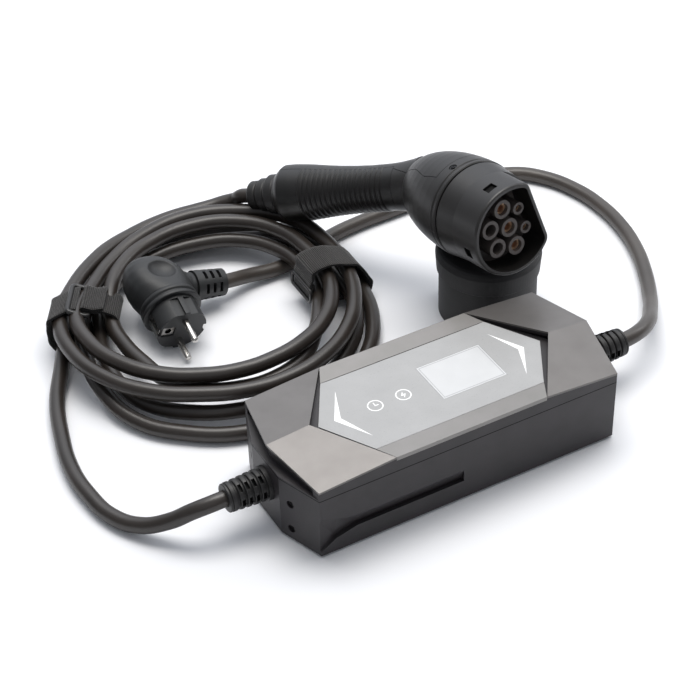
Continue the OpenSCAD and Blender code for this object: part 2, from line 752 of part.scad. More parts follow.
module gun_top_cover() color("#2e2c2c") difference() {
    union() {
        intersection() {
            head_and_neck();
            cover_zone(0);
        }
        in_handle() rotate([0, 0, 90 + grip_span / 2 + spine_gap])
            rotate_extrude(angle = 360 - grip_span - 2 * spine_gap)
                polygon(concat([[handle_core_r, sleeve_z - 4], [handle_radius(sleeve_z - 4), sleeve_z - 4]],
                    [for (p = handle_profile) if (p[1] > sleeve_z - 4) p],
                    [[handle_core_r, handle_l]]));
    }
    core_zone(0.1);
}

module gun_grip() color(gun_black) in_handle() rotate([0, 0, 90 - grip_span / 2])
    rotate_extrude(angle = grip_span) polygon(concat(
        [[handle_core_r + 0.1, sleeve_z + 0.2], [handle_radius(sleeve_z), sleeve_z + 0.2],
            [handle_radius(rib_start - 2), rib_start - 2]],
        [for (i = [0 : grip_ribs - 1]) let (z = rib_start + i * rib_pitch)
            each [[handle_radius(z), z], [handle_radius(z) + grip_rib_h, z + rib_pitch * 0.18],
                [handle_radius(z) + grip_rib_h, z + rib_pitch * 0.42],
                [handle_radius(z + rib_pitch * 0.62), z + rib_pitch * 0.62]]],
        [for (p = handle_profile) if (p[1] > rib_end + 1) p],
        [[handle_core_r + 0.1, handle_l]]));

module gun_screw() color("#b8b8ba") at_gun_screw() difference() {
    union() {
        translate([0, 0, 0.8]) cylinder(r = 2.5, h = 2.2);
        cylinder(r = 1.4, h = 9);
    }
    translate([-0.4, -1.8, -1]) cube([0.8, 3.6, 2.4]);
}

// Gland behind the handle: three rings that grow thinner towards the cable
gland_rings = [[14.8, 2, 9.4], [12.4, 11.2, 17.6], [10.8, 19.4, 26]];
module gun_gland() color(gun_black) in_handle() translate([0, 0, handle_l + 0.02]) difference() {
    rotate_extrude() polygon(concat([[0, 0], [16.2, 0], [15.6, 1]],
        [for (g = gland_rings) each [[g[0] - 1.6, g[1] - 0.6], [g[0] - 0.5, g[1]], [g[0], g[1] + 0.8],
            [g[0] - 0.1, g[2] - 1], [g[0] - 0.8, g[2]]]],
        [[8.4, gland_l - 1], [8, gland_l], [0, gland_l]]));
    translate([0, 0, -1]) cylinder(d = gun_cable_d + 2 * cable_gap, h = 80);
}

// Dust cap: stands on its mouth, with the wide closed end up
cap_play = 0.3;
cap_out = cap_play + cap_wall;
cap_top = 3;
module cap_layer(z, out) translate([0, 0, z]) d_shape(-out, 0.1);
module dust_cap() color("#1f1e1e") translate(cap_at) rotate([0, 0, cap_turn - 90]) difference() {
    union() {
        d_shape(-cap_out, cap_h - 2);
        hull() {
            cap_layer(cap_sleeve_l, cap_out + 0.6);
            cap_layer(cap_sleeve_l + 1, cap_out + cap_rim - 1);
            cap_layer(cap_h - 5, cap_out + cap_rim);
            cap_layer(cap_h - 2, cap_out + cap_rim - 0.8);
            cap_layer(cap_h - 0.8, cap_out + cap_rim - 2.2);
            cap_layer(cap_h - 0.1, cap_out + cap_rim - 4.4);
        }
    }
    translate([0, 0, -1]) d_shape(-cap_play, cap_h - cap_top + 1);
}

// Mains plug: origin in the middle of its face, +Z along the pins, +X towards the cable
module in_plug() translate(plug_at) rotate(plug_turn) children();
plug_exit_z = -38;
plug_relief_x = 25;
plug_relief_l = 24;
module plug_insert() color(plug_grey) in_plug() difference() {
    translate([0, 0, -plug_face_l]) cylinder(r = plug_face_r, h = plug_face_l, $fn = 72);
    for (s = [-1, 1]) translate([0, s * (plug_face_r - 2), 0]) {
        translate([-9, s > 0 ? 0 : -5, -plug_face_l + 2]) cube([7, 5, plug_face_l]);
        translate([2, s > 0 ? 0 : -5, -plug_face_l + 2]) cube([7, 5, plug_face_l]);
    }
    for (s = [-1, 1]) translate([0, s * plug_pin_pitch / 2, -pin_root_l])
        cylinder(r = pin_root_r, h = 20, $fn = 32);
    translate([-15.6, -4.6, -3]) cube([10, 9.2, 10]);
    translate([-10.5, 0, -16]) cylinder(r = 2.7, h = 30, $fn = 32);
    for (s = [-1, 1]) translate([s > 0 ? plug_face_r - 2.4 : -plug_face_r - 2.6, -3.2, -plug_face_l + 1])
        cube([5, 6.4, plug_face_l + 1]);
}

pin_root_l = 12;
pin_root_r = plug_pin_r - 0.4;
module plug_pins() color("#c9c2b4") in_plug() for (s = [-1, 1])
    translate([0, s * plug_pin_pitch / 2, 0]) rotate_extrude($fn = 32)
        polygon([[0, -pin_root_l], [pin_root_r, -pin_root_l], [pin_root_r, 0], [plug_pin_r, 0],
            [plug_pin_r, plug_pin_l - 1.4], [plug_pin_r - 0.4, plug_pin_l - 0.5],
            [plug_pin_r - 1.3, plug_pin_l], [0, plug_pin_l]]);

module plug_earth_contact() color("#c2bdb2") in_plug() {
    difference() {
        translate([-15.4, -4.4, -2.8]) cube([9.6, 8.8, 1.8]);
        translate([-10.5, 0, -20]) cylinder(r = 2.45, h = 40, $fn = 32);
    }
    for (s = [-1, 1]) translate([s > 0 ? plug_face_r - 2.2 : -plug_face_r + 1, -3, -plug_face_l + 1.2])
        cube([1.2, 6, plug_face_l - 2.6]);
}

module plug_body() color(plug_grey) in_plug() difference() {
    union() {
        translate([0, 0, -plug_face_l - 3]) cylinder(r = plug_collar_r, h = 3, $fn = 72);
        translate([0, 0, -plug_face_l - 5]) cylinder(r = plug_collar_r - 1.4, h = 3, $fn = 72);
        hull() {
            translate([0, 0, -plug_face_l - 9]) cylinder(r = plug_collar_r - 0.4, h = 4.4, $fn = 32);
            translate([-3, 0, -40]) scale(1) rotate([90, 0, 90])
                cylinder(r = 17.5, h = 20, center = true, $fn = 32);
            translate([-2, 0, -52]) rotate([90, 0, 90])
                cylinder(r = 8, h = 26, center = true, $fn = 24);
            translate([14, 0, plug_exit_z]) rotate([0, 90, 0]) cylinder(r = 12.4, h = 6, $fn = 32);
        }
        translate([18, 0, plug_exit_z]) rotate([0, 90, 0])
            cylinder(r = 10.2, h = plug_relief_x - 18, $fn = 48);
    }
    for (s = [-1, 1]) translate([-2, s * 24.5, -50]) rotate([0, 90, 0])
        cylinder(r = 12.5, h = 22, center = true, $fn = 48);
}

module plug_strain_relief() color(plug_grey) in_plug() translate([plug_relief_x, 0, plug_exit_z])
    rotate([0, 90, 0]) difference() {
        cylinder(r1 = 11.4, r2 = 10, h = plug_relief_l, $fn = 48);
        translate([0, 0, 1]) cylinder(d = plug_cable_d + 2 * cable_gap, h = 60);
        for (i = [0 : 2], a = [0 : 60 : 300]) rotate([0, 0, a + 30])
            translate([plug_cable_d / 2 + 1, -3.6, 6 + i * 5.6]) cube([10, 7.2, 2.4]);
    }

// Cable routes, each a list of chosen points
lead_route = [[-86, 0, 30], [-108, 0, 30], [-130, 0, 30], [-154, 0, 30], [-169, 4, 26],
    [-184, 13, 16], [-199, 27, 8], [-210, 46, 5.6], [-215, 72, 5.6], [-215, 100, 5.6],
    [-208, 134, 5.6], [-197, 168, 5.8], [-184, 192, 6.4]];
tail_route = [[-119, 280, 28.6], [-103, 287, 27], [-85, 293, 25.4], [-64, 297, 24], [-42, 299, 23.6],
    [-22, 297, 25], [-6, 289.5, 30]];
plug_route = [[-24, 222, 10], [3, 223, 6.4], [30, 230, 5.8], [56, 239, 5.6], [83, 243, 5.6],
    [110, 244, 5.6], [138, 245, 5.6], [166, 245, 5.6], [194, 244, 5.6], [218, 238, 5.6],
    [236, 221, 5.6], [248, 194, 5.6], [252, 165, 5.6], [250, 136, 5.6], [243, 108, 5.6],
    [231, 80, 5.8], [216, 54, 8], [199, 31, 16], [181, 12, 25], [165, 3, 29], [152, 0, 30],
    [130, 0, 30], [108, 0, 30], [86, 0, 30]];

function in_frame(p, turn, at) = at + turn_z(turn_y(turn_x(p, turn[0]), turn[1]), turn[2]);
function turn_x(p, a) = [p[0], p[1] * cos(a) - p[2] * sin(a), p[1] * sin(a) + p[2] * cos(a)];
function turn_y(p, a) = [p[0] * cos(a) + p[2] * sin(a), p[1], -p[0] * sin(a) + p[2] * cos(a)];
function turn_z(p, a) = [p[0] * cos(a) - p[1] * sin(a), p[0] * sin(a) + p[1] * cos(a), p[2]];
function handle_point(s) = in_frame(
    [0, -sin(handle_bend) * s, bend_z - cos(handle_bend) * s], gun_turn, gun_at);
function plug_point(s) = in_frame([plug_relief_x + s, 0, plug_exit_z], plug_turn, plug_at);

// Smooth route: each chosen point, and one more half way to the next
function mid_way(a, b, c, d) = (9 * (b + c) - (a + d)) / 16;
function smooth(pts) = [for (i = [0 : len(pts) - 1]) each i == len(pts) - 1 ? [pts[i]] :
    [pts[i], mid_way(pts[max(i - 1, 0)], pts[i], pts[i + 1], pts[min(i + 2, len(pts) - 1)])]];
function unit(v) = v / norm(v);
module tube(pts, d, sides) {
    n = len(pts);
    rings = [for (i = [0 : n - 1]) let (
        t = unit(pts[min(i + 1, n - 1)] - pts[max(i - 1, 0)]),
        u = unit(cross(t, [0, 0, 1])), v = cross(u, t))
        for (k = [0 : sides - 1]) pts[i] + d / 2 * (u * cos(360 * k / sides) + v * sin(360 * k / sides))];
    walls = [for (i = [0 : n - 2], k = [0 : sides - 1])
        [i * sides + k, (i + 1) * sides + k, (i + 1) * sides + (k + 1) % sides, i * sides + (k + 1) % sides]];
    polyhedron(rings, concat(walls, [[for (k = [0 : sides - 1]) k]],
        [[for (k = [0 : sides - 1]) n * sides - 1 - k]]));
}

module gun_cable_lead() color(cable_grey) tube(smooth(lead_route), gun_cable_d, 10);
module gun_cable_tail() color(cable_grey) tube(concat(smooth(tail_route),
    [handle_point(handle_l + gland_l + 2), handle_point(handle_l + gland_l - 14),
        handle_point(handle_l + 4), handle_point(handle_l - 16)]), gun_cable_d, 10);
module plug_cable() color(cable_grey) tube(concat([plug_point(2), plug_point(14), plug_point(26)],
    smooth(plug_route)), plug_cable_d, 10);

soft_gap = 0.3;
coil_z = strap_t + soft_gap;
coil_edge = 5;
module round_box(x0, x1, z0, z1, c) polygon([[x0, z0 + c], [x0 + c, z0], [x1 - c, z0], [x1, z0 + c],
    [x1, z1 - c], [x1 - c, z1], [x0 + c, z1], [x0, z1 - c]]);
tunnel_h = plug_cable_d + 1.6;
module gun_cable_coil() color(cable_grey) difference() {
    translate(coil_at) rotate_extrude($fn = 96)
        round_box(coil_in, coil_out, coil_z, coil_z + coil_h, coil_edge);
    hull() {
        translate([-8, 222, 0]) cylinder(d = plug_cable_d + 2.6, h = tunnel_h + 2.4, $fn = 24);
        translate([16, 225, 0]) cylinder(d = plug_cable_d + 2.6, h = tunnel_h, $fn = 24);
    }
    hull() {
        translate([16, 225, 0]) cylinder(d = plug_cable_d + 2.6, h = tunnel_h, $fn = 24);
        translate([46, 236, 0]) cylinder(d = plug_cable_d + 2.6, h = tunnel_h, $fn = 24);
    }
}

// Straps: bands round the coil's section. Their flat sides stand clear of the ring's curve.
band_in = sqrt(pow(coil_in, 2) - pow(strap_w / 2, 2)) - soft_gap;
band_out = coil_out + soft_gap;
band_low = coil_z - soft_gap;
band_top = coil_z + coil_h + soft_gap;
module strap_band() rotate([90, 0, 0]) linear_extrude(strap_w, center = true) difference() {
    round_box(band_in - strap_t, band_out + strap_t, band_low - strap_t, band_top + strap_t,
        coil_edge + strap_t / 2);
    round_box(band_in, band_out, band_low, band_top, coil_edge);
}
module at_strap(az) translate(coil_at) rotate([0, 0, az]) children();

// The left strap is folded back through its loop on top of the coil
fold_l = 17;
fold_t = 1.6;
loop_x = coil_out - 16;
module strap_left() color("#2b2a29") at_strap(strap_left_az) union() {
    strap_band();
    translate([loop_x - fold_l, -strap_w / 2, band_top + strap_t - 0.2]) cube([fold_l, strap_w, fold_t]);
}

// The right strap's end hangs down on the inner side of the coil
tail_l = coil_h - 18;
module strap_right() color("#2b2a29") at_strap(strap_right_az) union() {
    strap_band();
    translate([band_in - strap_t - fold_t + 0.2, -strap_w / 2, 5]) cube([fold_t, strap_w, tail_l]);
}

loop_t = 2;
loop_l = 13.4;
loop_bar = 3.8;
loop_side = 2.6;
module strap_loop() difference() {
    translate([0, -strap_w / 2 - loop_side, 0]) cube([loop_l, strap_w + 2 * loop_side, loop_t]);
    translate([loop_bar, -strap_w / 2 - fit_gap, -1])
        cube([loop_l - 2 * loop_bar, strap_w + 2 * fit_gap, loop_t + 2]);
}
module strap_loops() color("#3c3c3c") {
    at_strap(strap_left_az) translate([loop_x + 0.2, 0, band_top + strap_t]) strap_loop();
    at_strap(strap_right_az) translate([band_in - strap_t - loop_t, 0, 5 + tail_l + 0.2 + loop_l])
        rotate([0, 90, 0]) strap_loop();
}

base_shell();
cover_shell();
seam_gasket();
end_plate_left();
end_plate_right();
centre_frame();
touch_panel();
display_window();
panel_chevrons();
touch_rings();
strain_relief_left();
strain_relief_right();
relief_nuts();
end_screws();
main_board();
relays();
current_sensor();
power_supply();
terminal_block();
cable_saddles();
display_board();
display_module();
gun_shell();
gun_top_cover();
gun_grip();
gun_nose();
nose_seal();
contact_block();
power_contacts();
pilot_contacts();
gun_gland();
gun_screw();
dust_cap();
plug_body();
plug_insert();
plug_pins();
plug_earth_contact();
plug_strain_relief();
gun_cable_lead();
gun_cable_coil();
gun_cable_tail();
plug_cable();
strap_left();
strap_right();
strap_loops();
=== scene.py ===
# %% [markdown]
# This script dresses a portable electric vehicle charger: a control box with a touch panel, a vehicle
# connector on a coiled cable, the connector's dust cap, and a mains plug on a second cable.
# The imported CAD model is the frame. Everything made here is laid on it, in metres, and nothing in it
# is moved. Hard parts keep their CAD shape and only get a finish. Cables, straps, the plug's moulded
# back and the thin dark lines are made here, because they need curves and folds that solids lack.

import math

import bpy
import bmesh
from mathutils import Matrix, Vector


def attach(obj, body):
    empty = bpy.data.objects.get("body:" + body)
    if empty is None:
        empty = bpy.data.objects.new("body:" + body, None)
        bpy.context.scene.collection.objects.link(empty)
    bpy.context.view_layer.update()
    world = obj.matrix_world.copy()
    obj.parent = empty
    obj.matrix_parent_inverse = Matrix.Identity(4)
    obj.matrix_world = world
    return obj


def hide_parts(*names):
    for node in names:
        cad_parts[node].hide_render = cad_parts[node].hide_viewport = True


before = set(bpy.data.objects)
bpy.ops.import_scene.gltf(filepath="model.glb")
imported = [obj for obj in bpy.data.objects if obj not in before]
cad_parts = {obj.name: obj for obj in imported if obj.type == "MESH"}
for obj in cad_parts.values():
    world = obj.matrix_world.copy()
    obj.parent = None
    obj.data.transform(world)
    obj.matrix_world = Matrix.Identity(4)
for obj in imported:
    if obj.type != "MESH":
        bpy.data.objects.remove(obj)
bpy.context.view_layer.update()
MM = 0.001

# %% [markdown]
# The camera stands in front of the box's left end and looks down by about 39 degrees, through a long
# lens, as a product photographer does to keep the box's long edges nearly parallel.
# A camera can be aimed at a target by eye, but then the edges never all line up. Here its three axes
# were solved from corners that show both in the photograph and in the model, so they are written down.


# %% Camera
def link_in(obj):
    """Put an object into the scene, and hand it back."""
    bpy.context.scene.collection.objects.link(obj)
    return obj


camera_data = bpy.data.cameras.new("camera")
camera_data.sensor_width = 36
camera_data.lens = 97.86
camera_right = Vector((0.87212, -0.48870, -0.02404))
camera_up = Vector((0.32709, 0.54577, 0.77146))
camera_forward = Vector((0.36389, 0.68067, -0.63582))
camera_place = Vector((-484.19, -795.49, 854.32)) * MM
camera_turn = Matrix((camera_right, camera_up, -camera_forward)).transposed().to_4x4()
camera = link_in(bpy.data.objects.new("camera", camera_data))
camera.matrix_world = Matrix.Translation(camera_place) @ camera_turn
bpy.context.scene.camera = camera
print("camera at", [round(v, 3) for v in camera.matrix_world.translation])

# %% [markdown]
# A finish is a material made of nodes. A picture of plastic would do as well, but it has pixels that
# show up close, and nodes have none. The helpers below each make one step of such a material:
# a noise, a pair of colours that it mixes, and a relief that it presses into the surface.


# %% Tools for node materials
def linear(hex_colour):
    """sRGB hex to linear RGBA, which is what a shader expects."""
    out = []
    for i in (0, 2, 4):
        v = int(hex_colour[i : i + 2], 16) / 255
        out.append(v / 12.92 if v <= 0.04045 else ((v + 0.055) / 1.055) ** 2.4)
    return (*out, 1.0)


def node_material(name):
    """A new material, its nodes, the call that links two sockets, and its main shader."""
    material = bpy.data.materials.new(name)
    material.use_nodes = True
    tree = material.node_tree
    return material, tree.nodes, tree.links.new, tree.nodes["Principled BSDF"]


def noise(nodes, link, place, scale, detail):
    """A noise of this scale, per metre, read at the place socket."""
    texture = nodes.new("ShaderNodeTexNoise")
    texture.inputs["Scale"].default_value = scale
    texture.inputs["Detail"].default_value = detail
    link(place, texture.inputs["Vector"])
    return texture.outputs["Fac"]


def two_colours(nodes, link, factor, low, high):
    """A colour that the factor moves between two stops, each a position and a hex colour."""
    ramp = nodes.new("ShaderNodeValToRGB")
    for stop, (position, colour) in zip(ramp.color_ramp.elements, (low, high)):
        stop.position, stop.color = position, linear(colour)
    link(factor, ramp.inputs["Fac"])
    return ramp.outputs["Color"]


def relief(nodes, link, height, depth, under=None):
    """A normal that the height presses in by up to depth, in metres, over the normal under it."""
    bump = nodes.new("ShaderNodeBump")
    bump.inputs["Distance"].default_value = depth
    link(height, bump.inputs["Height"])
    if under is not None:
        link(under, bump.inputs["Normal"])
    return bump.outputs["Normal"]


print("one grey in linear light:", [round(v, 3) for v in linear("808080")])

# %% [markdown]
# Moulded, painted and rubber surfaces differ in three things: how the colour drifts over centimetres,
# how fine the grain is, and how glossy the grain leaves them. So one function makes them all.
# A moulded edge is never sharp. Rounding each one in the mesh would cost many faces, so the Bevel
# node bends only the light near an edge, by the radius that the real part has.


# %% One function for all moulded and painted finishes
def finish(name, dark, light, rough=0.5, rough_span=0.08, metallic=0.0, specular=0.5,
           drift=60.0, grain=2500.0, depth=0.00004, edge=0.0):
    """Colour drifts from dark to light, and gloss and relief follow the grain. Edge is a radius."""
    material, nodes, link, shader = node_material(name)
    shader.inputs["Metallic"].default_value = metallic
    shader.inputs["Specular IOR Level"].default_value = specular
    place = nodes.new("ShaderNodeTexCoord").outputs["Object"]
    slow = noise(nodes, link, place, drift, detail=3)
    link(two_colours(nodes, link, slow, (0.3, dark), (0.7, light)), shader.inputs["Base Color"])
    fine = noise(nodes, link, place, grain, detail=2)
    gloss = nodes.new("ShaderNodeMapRange")
    gloss.inputs["To Min"].default_value = max(rough - rough_span, 0.02)
    gloss.inputs["To Max"].default_value = min(rough + rough_span, 1.0)
    link(fine, gloss.inputs["Value"])
    link(gloss.outputs["Result"], shader.inputs["Roughness"])
    corner = None
    if edge:
        bevel = nodes.new("ShaderNodeBevel")
        bevel.samples = 4
        bevel.inputs["Radius"].default_value = edge
        corner = bevel.outputs["Normal"]
    link(relief(nodes, link, fine, depth, corner), shader.inputs["Normal"])
    return material


def paint(material, *names):
    """Give CAD nodes this finish, and leave their shapes alone."""
    for name in names:
        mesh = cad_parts[name].data
        mesh.materials.clear()
        mesh.materials.append(material)
    print(material.name, "on", ", ".join(names))


# %% [markdown]
# Both cables are round and 11 mm thick, with a rubber sheath, and stiff enough to hold a wide curve.
# A tube can be swept as a mesh, but a curve with a round bevel is the better tool: the sheath is
# perfectly even, the path stays a short list of points, and Blender measures the length itself.
# The sheath is smooth and a little glossy. The mains cable's rubber is painted paler: painted light,
# for the light that catches it from behind.


# %% Cable tools
CABLE = 11 * MM


def cable_curve(name, points, material):
    """A tube through points given in millimetres, and its length in metres."""
    data = bpy.data.curves.new(name, "CURVE")
    data.dimensions = "3D"
    data.bevel_depth = CABLE / 2
    data.bevel_resolution = 5
    data.resolution_u = 6
    data.use_fill_caps = True
    spline = data.splines.new("BEZIER")
    spline.bezier_points.add(len(points) - 1)
    for knot, p in zip(spline.bezier_points, points):
        knot.co = Vector(p) * MM
        knot.handle_left_type = knot.handle_right_type = "AUTO"
    data.materials.append(material)
    return link_in(bpy.data.objects.new(name, data)), spline.calc_length(resolution=12)


cable_rubber = finish("cable_rubber", "27221e", "302a26", rough=0.36, rough_span=0.05, specular=0.6,
                      drift=35, grain=900, depth=0.00003)
# The mains cable's paler colour is painted light: the same rubber, as if lit from behind.
mains_rubber_painted_light = finish("mains_rubber_painted_light", "3b3632", "46403b", rough=0.38, rough_span=0.05, specular=0.6,
                      drift=35, grain=900, depth=0.00003)
print("cables are", round(CABLE / MM), "mm thick")

# %% [markdown]
# The connector's cable runs in five turns and a little more. A spiral formula would look machine made,
# so the turns come from a table, read from the photograph: two turns on the floor, one that climbs
# inside them, and two on top. All of them rise in a low hump near azimuth 29, over the mains cable.

# %% Table of the coil
COIL_CENTRE = (-68.0, 180.0)
# Each row: turn, azimuth in degrees, radius and height in millimetres.
coil_knots = [
    (0, 172, 115.5, 6.6), (0, 160, 107.5, 7.9), (0, 145, 108.5, 7.8), (0, 128, 110.5, 6.2),
    (0, 90, 115, 6.0), (0, 58, 116.5, 9.5), (0, 29, 113, 17.4), (0, 5, 110.5, 11),
    (0, -17, 110.3, 7.6), (0, -38, 109.5, 6.4), (0, -75, 110, 5.8), (0, -108, 111.3, 5.8),
    (0, -132, 109.3, 6), (0, -155, 107.5, 7.5), (0, -170, 101.5, 12),
    (1, 160, 95.5, 18.2), (1, 145, 97, 14), (1, 128, 99.6, 8), (1, 90, 103.5, 6.2),
    (1, 58, 105, 9.5), (1, 29, 101.5, 17.4), (1, 5, 99.5, 14),
    (1, -17, 99, 12), (1, -38, 97, 9.5), (1, -75, 94.5, 9), (1, -108, 92.5, 9.5),
    (1, -141, 93, 9), (1, -157, 92, 9), (1, -170, 87, 8.5),
    (2, 173, 83.5, 8.2), (2, 160, 82.5, 7.8), (2, 145, 86, 11.3), (2, 128, 89, 14.5),
    (2, 105, 90, 16), (2, 82, 92, 16), (2, 57, 94.5, 16.4), (2, 40, 91.5, 17.3),
    (2, 24, 85, 17.8), (2, 0, 78, 17.8), (2, -17, 73, 17.4), (2, -40, 71, 17.4),
    (2, -60, 75, 17.3), (2, -75, 78.5, 17.3), (2, -108, 79, 17.2), (2, -135, 76, 17.2),
    (2, -163, 68.5, 17),
    (3, 176, 68.8, 17), (3, 160, 73, 18), (3, 145, 77.5, 23), (3, 128, 82.3, 28),
    (3, 106, 90, 28.8), (3, 93, 94.2, 28.4), (3, 80, 98.6, 28.4), (3, 57, 101.5, 28.6),
    (3, 33, 96, 29.4), (3, 20, 90.3, 29.6), (3, 0, 84.6, 29.6),
    (3, -17, 82.3, 29.6), (3, -47, 77.5, 29), (3, -69, 74, 28.6), (3, -91, 73, 28.4),
    (3, -126, 76.5, 28.4), (3, -154, 85, 29.2), (3, -177, 92, 29.4),
    (4, 160, 98.8, 29.6), (4, 145, 96, 27.4), (4, 128, 94.8, 26), (4, 112, 99.6, 26.2),
    (4, 99, 103.6, 27.2), (4, 85, 109, 28.2), (4, 71, 113.4, 28.4), (4, 58, 115, 28.2),
    (4, 45, 116.8, 28.6), (4, 30, 113.2, 29), (4, 20, 108.4, 28.6), (4, 0, 102, 27),
    (4, -17, 98.6, 26), (4, -43, 94.6, 24.6), (4, -63, 92.4, 24), (4, -96, 90.3, 23.8),
    (4, -125, 90.6, 24), (4, -153, 98.7, 24.6), (4, -175, 105, 25.2),
    (5, 160, 110.4, 25.8), (5, 145, 108, 27), (5, 127, 107.4, 27.8), (5, 117, 109.5, 26.8),
]
coil_rows = [(turn + (180 - azimuth) / 360, r, z) for turn, azimuth, r, z in coil_knots]
coil_start, coil_end = coil_rows[0][0], coil_rows[-1][0]
print("the coil runs for", round(coil_end - coil_start, 2), "turns")

# %% [markdown]
# Between two rows of the table, radius and height follow a cubic that keeps the slope of the rows
# around it, so the cable has no kinks. Eighteen points a turn then hold the shape on their own.

# %% Points of the coil
POINTS_A_TURN = 18


def cubic(a, b, slope_a, slope_b, t):
    """From a to b as t goes from 0 to 1, with these slopes at the ends."""
    return ((2 * t**3 - 3 * t**2 + 1) * a + (t**3 - 2 * t**2 + t) * slope_a
            + (-2 * t**3 + 3 * t**2) * b + (t**3 - t**2) * slope_b)


def row_slope(j, column):
    a, b = max(j - 1, 0), min(j + 1, len(coil_rows) - 1)
    return (coil_rows[b][column] - coil_rows[a][column]) / (coil_rows[b][0] - coil_rows[a][0])


def coil_place(turns):
    """The point of the coil after so many turns."""
    i = max(k for k in range(len(coil_rows) - 1) if coil_rows[k][0] <= turns + 1e-9)
    here, there = coil_rows[i], coil_rows[i + 1]
    step = there[0] - here[0]
    t = (turns - here[0]) / step
    r, z = (cubic(here[c], there[c], row_slope(i, c) * step, row_slope(i + 1, c) * step, t)
            for c in (1, 2))
    a = math.radians(180 - 360 * turns)
    return (COIL_CENTRE[0] + r * math.cos(a), COIL_CENTRE[1] + r * math.sin(a), z)


steps = round((coil_end - coil_start) * POINTS_A_TURN)
coil_points = [coil_place(coil_start + (coil_end - coil_start) * i / steps) for i in range(steps + 1)]
print(len(coil_points), "points in the coil")

# %% [markdown]
# The cable leaves the box's left end straight, sags to the floor under its own weight and joins the
# coil. At the other end it climbs from the top turn into the connector's gland. The last three points
# lie on the handle's axis, so they are worked out in the connector's own frame and turned with it.


# %% Connector cable
def turned(point, angles, at):
    """A point of a piece's own frame, in millimetres, turned and placed as the CAD model does it."""
    p = Vector(point)
    for axis, angle in zip("XYZ", angles):
        p = Matrix.Rotation(math.radians(angle), 3, axis) @ p
    return p + Vector(at)


GUN_AT, GUN_TURN = (104, 71, 99), (58, 71, -25.5)
HANDLE_START = -93.5
HANDLE_BEND = math.radians(33)


def handle_place(s):
    """The point of the handle's axis at s millimetres from the bend."""
    own = (0, -math.sin(HANDLE_BEND) * s, HANDLE_START - math.cos(HANDLE_BEND) * s)
    return turned(own, GUN_TURN, GUN_AT)


lead_points = [(-146, 0, 30), (-154, 0, 30), (-160, 0.6, 29.3), (-171, 4.4, 25.4), (-184, 13, 16),
               (-199, 27, 8), (-210, 46, 5.6), (-215, 72, 5.6), (-215, 100, 5.6),
               (-208, 134, 5.6), (-197, 168, 5.8)]
tail_points = [(-102.5, 286.6, 25.6), (-85, 293, 24.6), (-64, 298.4, 23.8), (-44, 299.8, 23.6),
               (-29, 298, 24), (-17, 295.3, 25.2), (-7, 291.6, 27.8), (0.2, 286.6, 30.8)]
gland_points = [tuple(handle_place(s)) for s in (157, 150, 141)]
gun_cable, gun_cable_length = cable_curve(
    "gun_cable", lead_points + coil_points + tail_points + gland_points, cable_rubber)
print("connector cable", round(gun_cable_length, 3), "m")

# %% [markdown]
# The mains cable leaves the plug's strain relief, passes under the coil, runs behind the connector
# and comes round to the box's right end. It lies on the floor apart from its two ends.

# %% Mains cable
PLUG_AT, PLUG_TURN = (-96, 180, 17.7), (106, 13.5, 0.7)
plug_points = [tuple(turned(own, PLUG_TURN, PLUG_AT)) for own in ((39, 0, -38), (51, 0, -38))]
mains_points = plug_points + [
    (-24, 222, 10), (3, 223, 6.4), (30, 230, 5.8), (56, 239, 5.6), (83, 243, 5.6),
    (110, 244, 5.6), (138, 245, 5.6), (166, 245, 5.6), (194, 244, 5.6), (218, 238, 5.6),
    (236, 221, 5.6), (248, 194, 5.6), (252, 165, 5.6), (250, 136, 5.6), (243, 108, 5.6),
    (231, 80, 5.8), (216, 54, 8), (199, 31, 16), (181, 11.4, 25.2), (166, 2.6, 29.2),
    (154, 0, 30), (146, 0, 30)]
mains_cable, mains_cable_length = cable_curve("mains_cable", mains_points[::-1], mains_rubber_painted_light)
print("mains cable", round(mains_cable_length, 3), "m")

# %% [markdown]
# Two straps of woven tape hold the turns. On the real product a strap is one flat length, passed
# round the bundle, through its plastic ring and folded back on itself. Cloth simulation could wrap
# it, but a strap is pulled tight, and a tight band takes the shortest line round what it holds.
# That line is the convex hull of the turns, cut across at the strap's azimuth, so it is computed.

# %% The turns that a strap holds, and their hull
STRAP_W = 26.0
STRAP_T = 1.7
CLEAR = 0.35 + STRAP_T / 2
LINE_POINTS = 160


def held_turns(azimuth):
    """The places, radius and height, where the coil crosses this azimuth."""
    places = []
    for whole in range(7):
        at = whole + (180 - azimuth) / 360
        if coil_start <= at <= coil_end:
            p = coil_place(at)
            places.append((math.hypot(p[0] - COIL_CENTRE[0], p[1] - COIL_CENTRE[1]), p[2]))
    return places


def hull_of(points):
    """The convex hull, anticlockwise, as a rubber band would lie round the points."""
    points = sorted(set(points))

    def half(seq):
        out = []
        for p in seq:
            while len(out) > 1 and ((out[-1][0] - out[-2][0]) * (p[1] - out[-2][1])
                                    - (out[-1][1] - out[-2][1]) * (p[0] - out[-2][0])) <= 0:
                out.pop()
            out.append(p)
        return out[:-1]

    return half(points) + half(points[::-1])


LEFT_AZ, RIGHT_AZ = 149, -1
print("turns held:", len(held_turns(LEFT_AZ)), "left and", len(held_turns(RIGHT_AZ)), "right")

# %% [markdown]
# A hull has long straight sides and sharp turns, and tape is a little stiffer than that. So the hull
# is divided into equal steps and each point is averaged with its neighbours three times. The bulge
# is a handful of points read from the photograph, where the real strap stands off from the turns.


